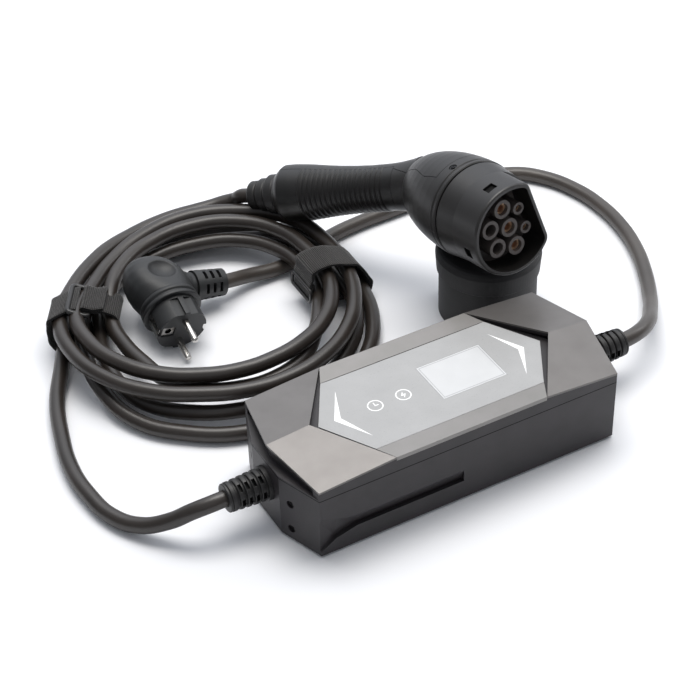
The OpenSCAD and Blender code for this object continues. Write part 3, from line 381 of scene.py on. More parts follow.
# %% The line that a strap takes round the turns
def wrap_line(azimuth, bulge):
    """The closed line of a strap's middle round the turns, pushed out over the bulge's points."""
    ring = list(bulge)
    reach = CABLE / MM / 2 + CLEAR
    for r, z in held_turns(azimuth):
        for k in range(48):
            a = math.tau * k / 48
            ring.append((round(r + reach * math.cos(a), 4), round(z + reach * math.sin(a), 4)))
    hull = [Vector(p) for p in hull_of(ring)]
    sides = [(hull[(i + 1) % len(hull)] - hull[i]).length for i in range(len(hull))]
    total, line = sum(sides), []
    for k in range(LINE_POINTS):
        s, i = total * k / LINE_POINTS, 0
        while s > sides[i]:
            s -= sides[i]
            i += 1
        line.append(hull[i].lerp(hull[(i + 1) % len(hull)], s / sides[i]))
    for _ in range(3):
        line = [(line[i - 1] + line[i] * 2 + line[(i + 1) % LINE_POINTS]) / 4
                for i in range(LINE_POINTS)]
    return line


left_line = wrap_line(LEFT_AZ, [(116.4, 31), (117.8, 22), (117, 12)])
right_line = wrap_line(RIGHT_AZ, [(70, 37.5), (75, 39.5), (84, 39.6), (92, 37.8), (104, 31),
                                  (113, 22.5), (118, 13)])
print("left strap's line reaches", round(max(p.x for p in left_line), 1), "mm from the middle")

# %% [markdown]
# The left strap goes once round, turns back through its ring and lies on its own first layer.
# It is drawn flat first, as radius and height along the strap, which is easy to picture: one round
# on the line, a small half circle for the fold, and the way back one layer further out.


# %% Path of the left strap
def nearest(line, radius=None, height=None):
    """Index of the point on top at this radius, or on the inner side at this height."""
    middle = sum(line, Vector((0, 0))) / len(line)
    if radius is not None:
        return min((abs(p.x - radius), i) for i, p in enumerate(line) if p.y > middle.y)[1]
    return min((abs(p.y - height), i) for i, p in enumerate(line) if p.x < middle.x)[1]


def place_on(line, i):
    """The line's point at this index, and the directions along the line and out of it."""
    count = len(line)
    d = line[(i + 2) % count] - line[(i - 2) % count]
    return line[i % count], d, Vector((d.y, -d.x)).normalized()


def eased(t):
    """0 to 1 with a soft start and end."""
    t = min(max(t, 0), 1)
    return t * t * (3 - 2 * t)


LAYER = STRAP_T + 0.3
FOLD_BACK = 16
start, end = nearest(left_line, radius=97.6), nearest(left_line, radius=92.5)
once_round = (start - end) % LINE_POINTS
left_path = [place_on(left_line, start - k)[0] for k in range(once_round + 1)]
p, d, out = place_on(left_line, end)
for degrees in (35, 65, 90, 115, 145):
    c, s = math.cos(math.radians(degrees)), math.sin(math.radians(degrees))
    left_path.append(p + out * LAYER / 2 * (1 - c) - d.normalized() * (LAYER / 2 + 0.5) * s)
for k in range(FOLD_BACK + 1):
    p, d, out = place_on(left_line, end + k)
    left_path.append(p + out * (LAYER + 1.2 * (k / FOLD_BACK) ** 3))
left_fold = once_round + 3
print("points along the left strap:", len(left_path))

# %% [markdown]
# The right strap simply overlaps itself on the inner side. Where the second layer starts, it rises
# by one thickness of tape over a few points, and the free end leaves the bundle and hangs a little.

# %% Path of the right strap
start = nearest(right_line, height=27)
overlap = (nearest(right_line, height=12) - start) % LINE_POINTS
right_path = []
for k in range(LINE_POINTS + overlap + 1):
    p, d, out = place_on(right_line, start + k)
    past = k - LINE_POINTS
    right_path.append(p + out * (LAYER * eased((past + 6) / 6) + 1.5 * eased(past / overlap)))
hang = right_path[-1] - right_path[-2]
right_path += [right_path[-1] + hang * k * 0.8 + Vector((-0.12, -0.3)) * k for k in range(1, 9)]
right_fold = LINE_POINTS + overlap // 2
print("points along the right strap:", len(right_path))

# %% [markdown]
# The tape is woven. An image of a weave would need unwrapping and scaling to fit. Here each strap
# carries a UV map in its own millimetres, and two crossed wave textures stand for the two sets of
# threads. Their product is bright only where both are, which gives the small raised dots of a weave.
# The colour follows the same product, so the gaps between the threads are painted darker than the
# raised dots: painted shade.


# %% Woven tape
def woven(name, dark, light, pitch, depth):
    """Woven tape whose threads lie pitch millimetres apart."""
    material, nodes, link, shader = node_material(name)
    shader.inputs["Roughness"].default_value = 0.85
    shader.inputs["Sheen Weight"].default_value = 0.25
    shader.inputs["Specular IOR Level"].default_value = 0.25
    place = nodes.new("ShaderNodeUVMap")
    place.uv_map = "weave"
    both = nodes.new("ShaderNodeMath")
    both.operation = "MULTIPLY"
    for socket, way in zip(both.inputs, ("X", "Y")):
        threads = nodes.new("ShaderNodeTexWave")
        threads.bands_direction = way
        threads.inputs["Scale"].default_value = 0.314 / pitch
        threads.inputs["Distortion"].default_value = 0.6
        threads.inputs["Detail"].default_value = 1.0
        threads.inputs["Detail Scale"].default_value = 2.0
        link(place.outputs["UV"], threads.inputs["Vector"])
        link(threads.outputs["Fac"], socket)
    dots = both.outputs["Value"]
    # Darker in the gaps between threads: painted shade over the tape's dark yarn.
    link(two_colours(nodes, link, dots, (0.02, dark), (0.75, light)), shader.inputs["Base Color"])
    link(relief(nodes, link, dots, depth), shader.inputs["Normal"])
    return material


THREAD_PITCH = 1.3
strap_fabric = woven("strap_fabric", "0f0e0e", "4d4946", THREAD_PITCH, 0.0007)
print("weave of", THREAD_PITCH, "mm")

# %% [markdown]
# Most new pieces are built with bmesh, Blender's mesh editor in code: points and faces are added one
# by one, and at the end the work is poured into an object. For a strap that starts with its spine,
# the flat path stood up in space at the strap's azimuth, with the direction that faces outwards.


# %% Spine of a strap
def mesh_piece(name, bm, material=None):
    """Pour bmesh work into a new object of the scene."""
    mesh = bpy.data.meshes.new(name)
    bm.to_mesh(mesh)
    bm.free()
    if material:
        mesh.materials.append(material)
    return link_in(bpy.data.objects.new(name, mesh))


def band_spine(azimuth, path, skew):
    """A path of radius and height as points in space, the outward directions, and the way across."""
    a = math.radians(azimuth)
    outward = Vector((math.cos(a), math.sin(a), 0))
    across = Vector((-math.sin(a), math.cos(a), 0))
    centre = Vector((*COIL_CENTRE, 0))
    spine, normals = [], []
    for k, p in enumerate(path):
        d = path[min(k + 1, len(path) - 1)] - path[max(k - 1, 0)]
        facing = Vector((d.y, -d.x)).normalized()
        spine.append(centre + outward * p.x + across * skew(p) + Vector((0, 0, p.y)))
        normals.append(outward * facing.x + Vector((0, 0, facing.y)))
    return spine, normals, across


# %% [markdown]
# A band needs a top, a bottom and two thin edges. Nine columns across let the edges curl a little,
# as worn tape does, and keep the middle flat. The first and last column are thinner, so that the
# edge catches a soft line of light and doesn't look cut from sheet metal.

# %% Tape along a spine
COLUMNS = (-0.5, -0.49, -0.4, -0.2, 0, 0.2, 0.4, 0.49, 0.5)
EDGE_THINNER = 0.35


def band_rows(bm, spine, normals, across):
    """Upper and lower points across the band, for each point of the spine."""
    rows = []
    for k, (p, facing) in enumerate(zip(spine, normals)):
        upper, lower = [], []
        for c in COLUMNS:
            curl = 0.3 * (abs(c) * 2) ** 6 * math.sin(k * 0.21 + c)
            thick = STRAP_T / 2 if abs(c) < 0.495 else STRAP_T / 2 - EDGE_THINNER
            at = p + across * c * STRAP_W + facing * curl
            upper.append(bm.verts.new((at + facing * thick) * MM))
            lower.append(bm.verts.new((at - facing * thick) * MM))
        rows.append((upper, lower))
    return rows


def band_faces(bm, rows, run):
    """The faces of a band, with UV in millimetres across and along it."""
    uv = bm.loops.layers.uv.new("weave")

    def face(verts, places):
        made = bm.faces.new(verts)
        made.smooth = True
        for loop, place in zip(made.loops, places):
            loop[uv].uv = place

    last, half = len(COLUMNS) - 1, STRAP_W / 2
    for k in range(len(rows) - 1):
        (ua, la), (ub, lb), y0, y1 = rows[k], rows[k + 1], run[k], run[k + 1]
        for j in range(last):
            x0, x1 = COLUMNS[j] * STRAP_W, COLUMNS[j + 1] * STRAP_W
            face([ua[j], ub[j], ub[j + 1], ua[j + 1]], [(x0, y0), (x0, y1), (x1, y1), (x1, y0)])
            face([la[j + 1], lb[j + 1], lb[j], la[j]], [(x1, y0), (x1, y1), (x0, y1), (x0, y0)])
        face([la[0], lb[0], ub[0], ua[0]], [(-half, y0), (-half, y1), (-half, y1), (-half, y0)])
        face([ua[last], ub[last], lb[last], la[last]], [(half, y0), (half, y1), (half, y1), (half, y0)])
    for (upper, lower), flip in ((rows[0], False), (rows[-1], True)):
        for j in range(last):
            quad = [upper[j], upper[j + 1], lower[j + 1], lower[j]]
            face(quad[::-1] if flip else quad, [(0, 0)] * 4)
    bmesh.ops.recalc_face_normals(bm, faces=bm.faces)


def strap_band(name, azimuth, path, skew=lambda p: 0):
    """A strap, its spine, outward directions, way across, and its length in millimetres."""
    spine, normals, across = band_spine(azimuth, path, skew)
    run = [0.0]
    for a, b in zip(spine, spine[1:]):
        run.append(run[-1] + (b - a).length)
    bm = bmesh.new()
    band_faces(bm, band_rows(bm, spine, normals, across), run)
    return mesh_piece(name, bm, strap_fabric), spine, normals, across, run[-1]


# %% [markdown]
# The left strap doesn't lie square to the turns: it slips along them, 9 mm one way on the outer side
# and 3 mm the other way on the inner side. The skew is a smooth function of the radius.

# %% The two straps
left_band, left_spine, left_normals, left_across, left_run = strap_band(
    "left_band", LEFT_AZ, left_path,
    lambda p: 9 * eased((p.x - 99) / 18) - 3 * eased((88 - p.x) / 10))
right_band, right_spine, right_normals, right_across, right_run = strap_band(
    "right_band", RIGHT_AZ, right_path)
print("straps", round(left_run), "and", round(right_run), "mm long, lowest",
      round(min(p.z for p in left_spine + right_spine) - STRAP_T / 2, 2), "mm")

# %% [markdown]
# Each strap passes through a ring of glossy plastic, a flat rounded rectangle of thin rod. It is
# a closed curve with a round bevel, as the cables are, and takes its place from the strap's spine.

# %% Strap rings
loop_plastic = finish("loop_plastic", "232222", "2c2b2b", rough=0.32, grain=1500, depth=0.00001)
RING_CORNER = 2.6
RING_PLAY = 0.2


def strap_loop(name, spine, normals, across, row, ahead, half_length, rod):
    """A ring round the strap at one row of its spine, its middle so many millimetres ahead."""
    along = (spine[row] - spine[row - 4]).normalized()
    centre, lift = spine[row] + along * ahead, normals[row] * (rod + RING_PLAY)
    reach_x = STRAP_W / 2 + rod + RING_PLAY - RING_CORNER
    reach_y = half_length - RING_CORNER
    data = bpy.data.curves.new(name, "CURVE")
    data.dimensions = "3D"
    data.bevel_depth = rod * MM
    data.bevel_resolution = 4
    spline = data.splines.new("POLY")
    spline.points.add(4 * 5 - 1)
    corners = ((1, 1, 0), (-1, 1, 90), (-1, -1, 180), (1, -1, 270))
    angles = [(cx, cy, math.radians(a + 22.5 * k)) for cx, cy, a in corners for k in range(5)]
    for point, (cx, cy, a) in zip(spline.points, angles):
        x = cx * reach_x + RING_CORNER * math.cos(a)
        y = cy * reach_y + RING_CORNER * math.sin(a)
        point.co = (*((centre + across * x + along * y + lift) * MM), 1)
    spline.use_cyclic_u = True
    data.materials.append(loop_plastic)
    return link_in(bpy.data.objects.new(name, data))


loop_left = strap_loop("loop_left", left_spine, left_normals, left_across,
                       row=left_fold - 5, ahead=5.0, half_length=7.4, rod=1.9)
loop_right = strap_loop("loop_right", right_spine, right_normals, right_across,
                        row=right_fold, ahead=0, half_length=5, rod=1.3)
print("rings made:", loop_left.name, loop_right.name)

# %% [markdown]
# The box is moulded in dark plastic with a fine spark-eroded texture. Its plates are painted silver,
# so they are half metallic with a satin gloss, and the middle frame is a shade lighter than the ends.
# The touch panel is pale printed film, and the display and the white print on it are smoother.

# %% Finishes of the control box
housing_plastic = finish("housing_plastic", "221f21", "2b272a", rough=0.46, grain=2200,
                         depth=0.00003, edge=0.0004)
paint(housing_plastic, "base_shell", "cover_shell")
silver_plate = finish("silver_plate", "6b6866", "726f6d", rough=0.38, metallic=0.5, grain=3200,
                      depth=0.00001, edge=0.0004)
paint(silver_plate, "end_plate_left", "end_plate_right")
frame_silver = finish("frame_silver", "83817e", "898684", rough=0.38, metallic=0.45, grain=3200,
                      depth=0.00001, edge=0.0004)
paint(frame_silver, "centre_frame")
panel_grey = finish("panel_grey", "a2a2a2", "a8a8a8", rough=0.3, grain=900, depth=0.000004)
paint(panel_grey, "touch_panel")
display_white = finish("display_white", "c8c9ca", "cdcecf", rough=0.2, grain=900, depth=0.000002)
paint(display_white, "display_window", "display_module")
print_white = finish("print_white", "f4f4f4", "fafafa", rough=0.4, grain=900, depth=0.000004)
paint(print_white, "panel_chevrons", "touch_rings")
screw_steel = finish("screw_steel", "1a1a1b", "2a2a2b", rough=0.35, metallic=0.6, grain=2000,
                     depth=0.00002)
paint(screw_steel, "end_screws", "gun_screw")

# %% [markdown]
# The connector's housing is nearly black, with a grain just coarse enough to spread its highlights.
# Its grip is a second, softer material moulded over it, and shines a little more along the ribs.
# Strain reliefs and seals are matt rubber, and the dust cap is the mattest and palest of them.

# %% Finishes of the connector, the cap and the reliefs
gun_plastic = finish("gun_plastic", "161413", "1d1b1a", rough=0.4, specular=0.6, grain=2400,
                     depth=0.00003, edge=0.0004)
paint(gun_plastic, "gun_shell", "gun_top_cover", "gun_nose")
grip_rubber = finish("grip_rubber", "100f0e", "171514", rough=0.36, specular=0.6, grain=2200,
                     depth=0.00003)
paint(grip_rubber, "gun_grip")
tower_plastic = finish("tower_plastic", "4a4441", "544e4b", grain=2400, depth=0.00003)
paint(tower_plastic, "contact_block")
contact_brass = finish("contact_brass", "cfa582", "e6c3a3", rough=0.4, metallic=0.75, depth=0.00001)
paint(contact_brass, "power_contacts", "pilot_contacts")
cap_rubber = finish("cap_rubber", "222122", "2a292a", rough=0.6, grain=1600, edge=0.0005)
paint(cap_rubber, "dust_cap")
relief_rubber = finish("relief_rubber", "1c1b1b", "232222", grain=1800, depth=0.00002, edge=0.0003)
paint(relief_rubber, "strain_relief_left", "strain_relief_right", "gun_gland")
seal_rubber = finish("seal_rubber", "121212", "191919", rough=0.6, grain=1500, depth=0.00002)
paint(seal_rubber, "seam_gasket", "nose_seal")

# %% [markdown]
# The mains plug is one dark plastic, cooler in tone than the connector, with nickel-plated pins.
# Nickel is a true metal, so its colour is its reflection, and the gloss does the rest.

# %% Finishes of the mains plug
plug_plastic = finish("plug_plastic", "222324", "2a2b2c", grain=2200, depth=0.00003, edge=0.0004)
paint(plug_plastic, "plug_insert", "plug_strain_relief")
pin_nickel = finish("pin_nickel", "b5b2ae", "cfccc8", rough=0.22, metallic=1.0, depth=0.00001)
paint(pin_nickel, "plug_pins", "plug_earth_contact")

# %% [markdown]
# Nobody sees the inside, but a reusable part may be cut open later. So its pieces get the colours
# that such pieces usually have: green boards, blue relays, a yellow transformer, green terminals.

# %% Finishes of the inside
nut_grey = finish("nut_grey", "6b6d6f", "76787a", rough=0.45, grain=1500, depth=0.00002)
paint(nut_grey, "relief_nuts")
board_green = finish("board_green", "174a2a", "1f5a34", rough=0.4, grain=1500, depth=0.00001)
paint(board_green, "main_board", "display_board")
relay_blue = finish("relay_blue", "28547f", "305f90", rough=0.35, grain=1500, depth=0.00001)
paint(relay_blue, "relays")
sensor_black = finish("sensor_black", "1a1c1e", "24272a", grain=1500, depth=0.00002)
paint(sensor_black, "current_sensor", "cable_saddles")
supply_yellow = finish("supply_yellow", "b8951f", "c9a227", rough=0.4, grain=1500, depth=0.00001)
paint(supply_yellow, "power_supply")
terminal_green = finish("terminal_green", "3a7456", "44876a", rough=0.35, grain=1500, depth=0.00001)
paint(terminal_green, "terminal_block")

# %% [markdown]
# The joint between base and cover shows as a thin dark line. Drawing it by hand would miss a corner
# somewhere, so it is cut from the base's own mesh just below the joint: a bisecting plane finds the
# outline, and a narrow strip of nearly black faces stands a hair outside the walls.

# %% Seam line
SEAM_Z = 48.0
SEAM_TALL = 0.6
CUT_BELOW = 0.4
# Nearly black: the colour of the dark joints, and painted shade in the lock pockets.
dark_joint_and_painted_shade = finish("dark_joint_and_painted_shade", "070707", "0b0b0b", rough=0.7, specular=0.2, grain=1500,
                     depth=0.00001)


def contour(mesh, z):
    """The mesh's edges on the level z, in metres, as pairs of points."""
    bm = bmesh.new()
    bm.from_mesh(mesh)
    cut = bmesh.ops.bisect_plane(bm, geom=bm.verts[:] + bm.edges[:] + bm.faces[:],
                                 plane_co=(0, 0, z), plane_no=(0, 0, 1),
                                 clear_inner=True, clear_outer=True)["geom_cut"]
    pairs = [tuple(v.co.copy() for v in e.verts) for e in cut if isinstance(e, bmesh.types.BMEdge)]
    bm.free()
    return pairs


bm = bmesh.new()
for pair in contour(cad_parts["base_shell"].data, (SEAM_Z - CUT_BELOW) * MM):
    rows = [[bm.verts.new((p.x * 1.0005, p.y * 1.0012, level * MM)) for p in pair]
            for level in (SEAM_Z - SEAM_TALL / 2, SEAM_Z + SEAM_TALL / 2)]
    bm.faces.new((rows[0][0], rows[0][1], rows[1][1], rows[1][0]))
bmesh.ops.remove_doubles(bm, verts=bm.verts, dist=1e-6)
seam_line = mesh_piece("seam_line", bm, dark_joint_and_painted_shade)
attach(seam_line, "root")
print("seam", len(seam_line.data.polygons), "faces")

# %% [markdown]
# The car's lock reaches into three pockets in the connector's nose. They look black in the photograph,
# because little light gets in. The pockets of the model are shallow and catch some light, so each gets
# painted shade: a nearly black lining 0.1 mm off its walls, like a tiny open box, which gives the depth
# back.

# %% Pocket linings of painted shade
POCKET_TURNS = (180, 270, 0)
# Each ring of a painted shade lining: distance from the nose's axis, half width, lower and upper end.
POCKET_RINGS = ((32.3, 3.9, -8.9, -2.1), (30.9, 3.9, -8.9, -2.1), (30.7, 3.6, -8.6, -2.4))
bm = bmesh.new()
for degrees in POCKET_TURNS:
    spin = Matrix.Rotation(math.radians(degrees), 3, "Z")
    rings = []
    for x, half, low, high in POCKET_RINGS:
        corners = [(x, -half, low), (x, half, low), (x, half, high), (x, -half, high)]
        rings.append([bm.verts.new(turned(spin @ Vector(c), GUN_TURN, GUN_AT) * MM) for c in corners])
    for outer, inner in zip(rings, rings[1:]):
        for i in range(4):
            bm.faces.new((outer[i], outer[(i + 1) % 4], inner[(i + 1) % 4], inner[i]))
    bm.faces.new(rings[-1])
# Each pocket's nearly black lining is painted shade, not a part of the connector.
lock_pocket_painted_shade = mesh_piece("lock_pocket_painted_shade", bm, dark_joint_and_painted_shade)
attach(lock_pocket_painted_shade, "root")
print("linings", len(lock_pocket_painted_shade.data.polygons), "faces")

# %% [markdown]
# The display's glass has a slightly darker printed edge. The corners are read from the window's own
# top face and moved inwards along both neighbouring sides, so the band keeps its width at corners.


# %% Display edge
def top_corners(mesh):
    """The corners of a flat part's top face, in order round it, and its height."""
    top = max(v.co.z for v in mesh.vertices)
    corners = sorted({(round(v.co.x, 6), round(v.co.y, 6))
                      for v in mesh.vertices if v.co.z > top - 1e-5})
    mx, my = (sum(c[i] for c in corners) / len(corners) for i in (0, 1))
    return sorted(corners, key=lambda c: math.atan2(c[1] - my, c[0] - mx)), top


def inset(corners, d):
    """The outline moved inwards by d."""
    moved = []
    for i, c in enumerate(corners):
        p, a, b = Vector(c), Vector(corners[i - 1]), Vector(corners[(i + 1) % len(corners)])
        u, w = (p - a).normalized(), (b - p).normalized()
        n1, n2 = Vector((-u.y, u.x)), Vector((-w.y, w.x))
        moved.append(p + (n1 + n2) * d / (1 + n1.dot(n2)))
    return moved


EDGE_INSET, EDGE_WIDTH, EDGE_LIFT = 0.0011, 0.0005, 0.00004
corners, top = top_corners(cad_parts["display_window"].data)
bm = bmesh.new()
outer, inner = ([bm.verts.new((q.x, q.y, top + EDGE_LIFT)) for q in inset(corners, d)]
                for d in (EDGE_INSET, EDGE_INSET + EDGE_WIDTH))
for i in range(len(corners)):
    j = (i + 1) % len(corners)
    bm.faces.new((outer[i], outer[j], inner[j], inner[i]))
display_grey = finish("display_grey", "a9aaac", "aeafb1", rough=0.25, grain=900, depth=0.000002)
display_edge = mesh_piece("display_edge", bm, display_grey)
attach(display_edge, "root")
print("window corners", [[round(v / MM, 1) for v in c] for c in corners], "at", round(top / MM, 2))

# %% [markdown]
# A thin gap runs along the touch panel's rear edge. It is a strip half a millimetre wide that narrows
# to nothing at both ends, as the gap does where the panel meets its bed.

# %% Panel gap
GAP_FROM, GAP_TO, GAP_WIDTH, GAP_STEPS = Vector((-62, 36, 58.95)), Vector((62, 36, 58.95)), 0.5, 24
side = (GAP_TO - GAP_FROM).cross(Vector((0, 0, 1))).normalized() * GAP_WIDTH / 2
bm = bmesh.new()
rows = []
for k in range(GAP_STEPS + 1):
    p = GAP_FROM.lerp(GAP_TO, k / GAP_STEPS)
    fade = min(1, 4 * k / GAP_STEPS, 4 * (GAP_STEPS - k) / GAP_STEPS) ** 0.3
    rows.append([bm.verts.new((p + side * s * fade) * MM) for s in (-1, 1)])
for a, b in zip(rows, rows[1:]):
    bm.faces.new((a[0], a[1], b[1], b[0]))
panel_gap = mesh_piece("panel_gap", bm, dark_joint_and_painted_shade)
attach(panel_gap, "root")
print("panel gap", len(panel_gap.data.polygons), "faces")

# %% [markdown]
# The mains plug's back is one soft moulded form that the plain CAD body only stands in for. It could
# be sculpted by hand, or grown from a box by subdivision. Here it is lofted through rounded sections,
# because sections can be read from a photograph one by one, and a boss points to the cable.


# %% Tools for the plug
def ring_of(count, point):
    """A closed ring of points, each made from its cosine and sine."""
    angles = [math.tau * i / count for i in range(count)]
    return [point(math.cos(a), math.sin(a)) for a in angles]


def rounded(half_x, half_y, middle_x, z, power):
    """A ring between an ellipse, power 2, and a rectangle, a high power."""
    return ring_of(72, lambda c, s: (
        middle_x + half_x * math.copysign(abs(c) ** (2 / power), c),
        half_y * math.copysign(abs(s) ** (2 / power), s), z))


def lofted(rings):
    """A closed skin through rings of the same count."""
    bm = bmesh.new()
    rows = [[bm.verts.new(p) for p in ring] for ring in rings]
    for a, b in zip(rows, rows[1:]):
        for i in range(len(a)):
            bm.faces.new((a[i], a[(i + 1) % len(a)], b[(i + 1) % len(a)], b[i]))
    bm.faces.new(rows[0][::-1])
    bm.faces.new(rows[-1])
    bmesh.ops.recalc_face_normals(bm, faces=bm.faces)
    return bm


def pour(source, target):
    """Add one bmesh to another, through a mesh that is thrown away."""
    passing = bpy.data.meshes.new("passing")
    source.to_mesh(passing)
    source.free()
    target.from_mesh(passing)
    bpy.data.meshes.remove(passing)
    return target


# Each section: half length, half width, middle, height in millimetres, and how square it is.
sections = [(20.6, 20.6, 0, -25, 2), (21.2, 19.8, -0.6, -29, 2.2), (21.8, 18.6, -1.6, -35, 2.6),
            (22, 17.6, -2.2, -42, 2.8), (21.4, 16.4, -2.8, -49, 2.8), (19.6, 14.8, -3.4, -55, 2.6),
            (16.6, 12.6, -4, -60, 2.4), (12, 9.4, -4.4, -63.6, 2.2), (6, 5, -4.6, -65.4, 2)]
BOSS_Z = -38
# Each ring of the boss: its place towards the cable, and its radius.
boss = [ring_of(48, lambda c, s, x=x, r=r: (x, r * c, BOSS_Z + r * s))
        for x, r in ((4, 14), (14, 12.9), (19.5, 11.4), (21.5, 10.4), (24.9, 10.2))]
body = lofted([rounded(*section) for section in sections])
plug_back = mesh_piece("plug_back", pour(lofted(boss), body))
print("plug's rough form", len(plug_back.data.polygons), "faces")

# %% [markdown]
# A thumb hollow on each side gives the hand a hold. It is cut with an egg-shaped tool by a Boolean
# modifier. A voxel remesh before each cut melts all parts into one skin, and a last remesh with some
# smoothing rounds the rim of the cuts, as a mould maker would.

# %% Thumb hollows
HOLLOW_AT, HOLLOW_HALF = (-0.6, 21.6, -45.8), (13, 9.6, 11.6)
SLICES = [0.02 + 3.1 * k / 24 for k in range(25)]


def hollow_tool(side):
    """An egg whose middle lies outside the plug's skin, on this side."""
    (hx, hy, hz), (rx, ry, rz) = HOLLOW_AT, HOLLOW_HALF
    rings = [ring_of(48, lambda c, s, t=t: (
        hx + rx * math.sin(t) * c, side * hy + ry * math.cos(t), hz + rz * math.sin(t) * s))
        for t in SLICES]
    return mesh_piece("hollow", lofted(rings))


def apply_all(obj):
    """Replace the object's mesh by what its modifiers make of it."""
    bpy.context.view_layer.update()
    shaped = obj.evaluated_get(bpy.context.evaluated_depsgraph_get())
    mesh = bpy.data.meshes.new_from_object(shaped)
    obj.modifiers.clear()
    old, obj.data = obj.data, mesh
    bpy.data.meshes.remove(old)


for side in (-1, 1):
    tool = hollow_tool(side)
    plug_back.modifiers.new("join", "REMESH").voxel_size = 0.6
    cut = plug_back.modifiers.new("cut", "BOOLEAN")
    cut.operation, cut.object, cut.solver = "DIFFERENCE", tool, "EXACT"
    apply_all(plug_back)
    bpy.data.objects.remove(tool)
plug_back.modifiers.new("join", "REMESH").voxel_size = 0.55
ease = plug_back.modifiers.new("ease", "SMOOTH")
ease.factor, ease.iterations = 0.5, 6
apply_all(plug_back)
print("plug's soft form", len(plug_back.data.polygons), "faces")

# %% [markdown]
# The collar between the soft back and the flat face has two crisp rings. A remesh would blur them,
# so they are turned afterwards, as on a lathe, from a list of radii and heights. Then the whole
# piece, drawn upright in millimetres, takes its place on the floor.

# %% Plug collar
collar_profile = [(18.6, -17), (21.6, -17), (22, -17.4), (22, -19.4), (21.6, -19.9), (20.6, -20.2),
                  (20.6, -21.7), (21.4, -22.1), (21.7, -22.6), (21.6, -25), (19, -26)]
collar = lofted([ring_of(96, lambda c, s, r=r, z=z: (r * c, r * s, z)) for r, z in collar_profile])
whole = bmesh.new()
whole.from_mesh(plug_back.data)
pour(collar, whole)
for v in whole.verts:
    v.co = turned(v.co, PLUG_TURN, PLUG_AT) * MM
for f in whole.faces:
    f.smooth = True
whole.to_mesh(plug_back.data)
whole.free()
plug_back.data.materials.clear()
plug_back.data.materials.append(plug_plastic)
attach(plug_back, "root")
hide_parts("plug_body")
print("plug body", len(plug_back.data.polygons), "faces")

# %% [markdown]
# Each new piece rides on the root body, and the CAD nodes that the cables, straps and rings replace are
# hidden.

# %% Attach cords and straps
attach(gun_cable, "root")
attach(mains_cable, "root")
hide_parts("gun_cable_lead", "gun_cable_coil", "gun_cable_tail")
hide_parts("plug_cable")
for piece, node in ((left_band, "strap_left"), (right_band, "strap_right"),
                    (loop_left, "strap_loops"), (loop_right, "strap_loops")):
    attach(piece, "root")
    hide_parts(node)

# %% [markdown]
# The set is a white table. A curved backdrop would hide the horizon, but seen from above a large
# flat plane does the same. It is matt, so it keeps the soft shadows and shows no reflections.

# %% Floor
FLOOR_SIZE, FLOOR_Z = 8, -0.0003
bpy.ops.mesh.primitive_plane_add(size=FLOOR_SIZE, location=(0, 0, FLOOR_Z))
floor = bpy.context.object
floor.name = "floor"
floor_white = finish("floor_white", "f0f1f4", "f4f5f8", rough=0.9, specular=0.0, drift=2,
                     grain=600, depth=0.00001)
floor.data.materials.append(floor_white)
print("floor of", FLOOR_SIZE, "m at", FLOOR_Z, "m")

# %% [markdown]
# A studio's walls light the object from all sides, and a bright wall behind gives dark cables their
# long highlights. So the world is a ramp from dark below to pale above, made stronger towards the
# rear. The camera itself sees plain white instead, which the Light Path node keeps apart.

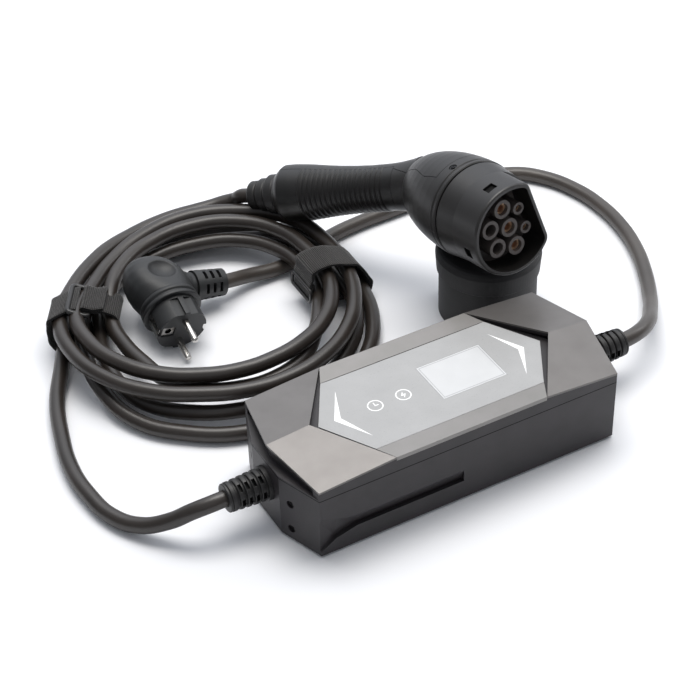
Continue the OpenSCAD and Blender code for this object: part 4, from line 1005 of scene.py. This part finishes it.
# %% Sky
REAR_WALL = (0.47, 0.88, 0)
world = bpy.data.worlds.new("world")
bpy.context.scene.world = world
world.use_nodes = True
nodes, link = world.node_tree.nodes, world.node_tree.links.new
nodes.clear()
way = nodes.new("ShaderNodeTexCoord")
height = nodes.new("ShaderNodeSeparateXYZ")
link(way.outputs["Generated"], height.inputs["Vector"])
ramp = nodes.new("ShaderNodeValToRGB")
ramp.color_ramp.elements[0].position = 0.0
ramp.color_ramp.elements[0].color = (0.09, 0.094, 0.1, 1)
ramp.color_ramp.elements[1].position = 1.0
ramp.color_ramp.elements[1].color = (0.5, 0.52, 0.55, 1)
ramp.color_ramp.elements.new(0.45).color = (0.22, 0.23, 0.25, 1)
link(height.outputs["Z"], ramp.inputs["Fac"])
rear = nodes.new("ShaderNodeVectorMath")
rear.operation = "DOT_PRODUCT"
rear.inputs[1].default_value = REAR_WALL
link(way.outputs["Generated"], rear.inputs[0])
lift = nodes.new("ShaderNodeMapRange")
for socket, value in (("From Min", 0.2), ("From Max", 1.0), ("To Min", 1.0), ("To Max", 6.5)):
    lift.inputs[socket].default_value = value
link(rear.outputs["Value"], lift.inputs["Value"])
sky = nodes.new("ShaderNodeBackground")
link(ramp.outputs["Color"], sky.inputs["Color"])
link(lift.outputs["Result"], sky.inputs["Strength"])
white = nodes.new("ShaderNodeBackground")
white.inputs["Strength"].default_value = 1.0
either = nodes.new("ShaderNodeMixShader")
link(nodes.new("ShaderNodeLightPath").outputs["Is Camera Ray"], either.inputs["Fac"])
link(sky.outputs["Background"], either.inputs[1])
link(white.outputs["Background"], either.inputs[2])
link(either.outputs["Shader"], nodes.new("ShaderNodeOutputWorld").inputs["Surface"])
print("sky of", len(nodes), "nodes")

# %% [markdown]
# Three softboxes do the rest. The large warm one hangs over the object, a little behind it, and
# throws the soft shadow to the front. Two weak ones, right and front, open up the dark sides.


# %% Lamps
def softbox(name, place, target, width, height, power, colour=(1, 1, 1)):
    """A rectangular lamp, sizes in metres and power in watts, aimed at the target."""
    data = bpy.data.lights.new(name, "AREA")
    data.shape = "RECTANGLE"
    data.size, data.size_y = width, height
    data.energy = power
    data.color = colour
    lamp = link_in(bpy.data.objects.new(name, data))
    lamp.location = place
    aim = Vector(target) - Vector(place)
    lamp.rotation_euler = aim.to_track_quat("-Z", "Y").to_euler()
    print(name, power, "W")


softbox("top_light", (0.15, 0.32, 1.35), (0, 0.1, 0), 1.2, 0.7, 16.5, (1, 0.975, 0.94))
softbox("right_fill", (1.15, 0.15, 0.75), (0.05, 0.1, 0.05), 0.5, 0.5, 2.4)
softbox("front_fill", (-0.9, -1.3, 1.1), (0, 0.1, 0), 0.9, 0.9, 0.8)
bpy.context.scene.view_settings.view_transform = "Standard"
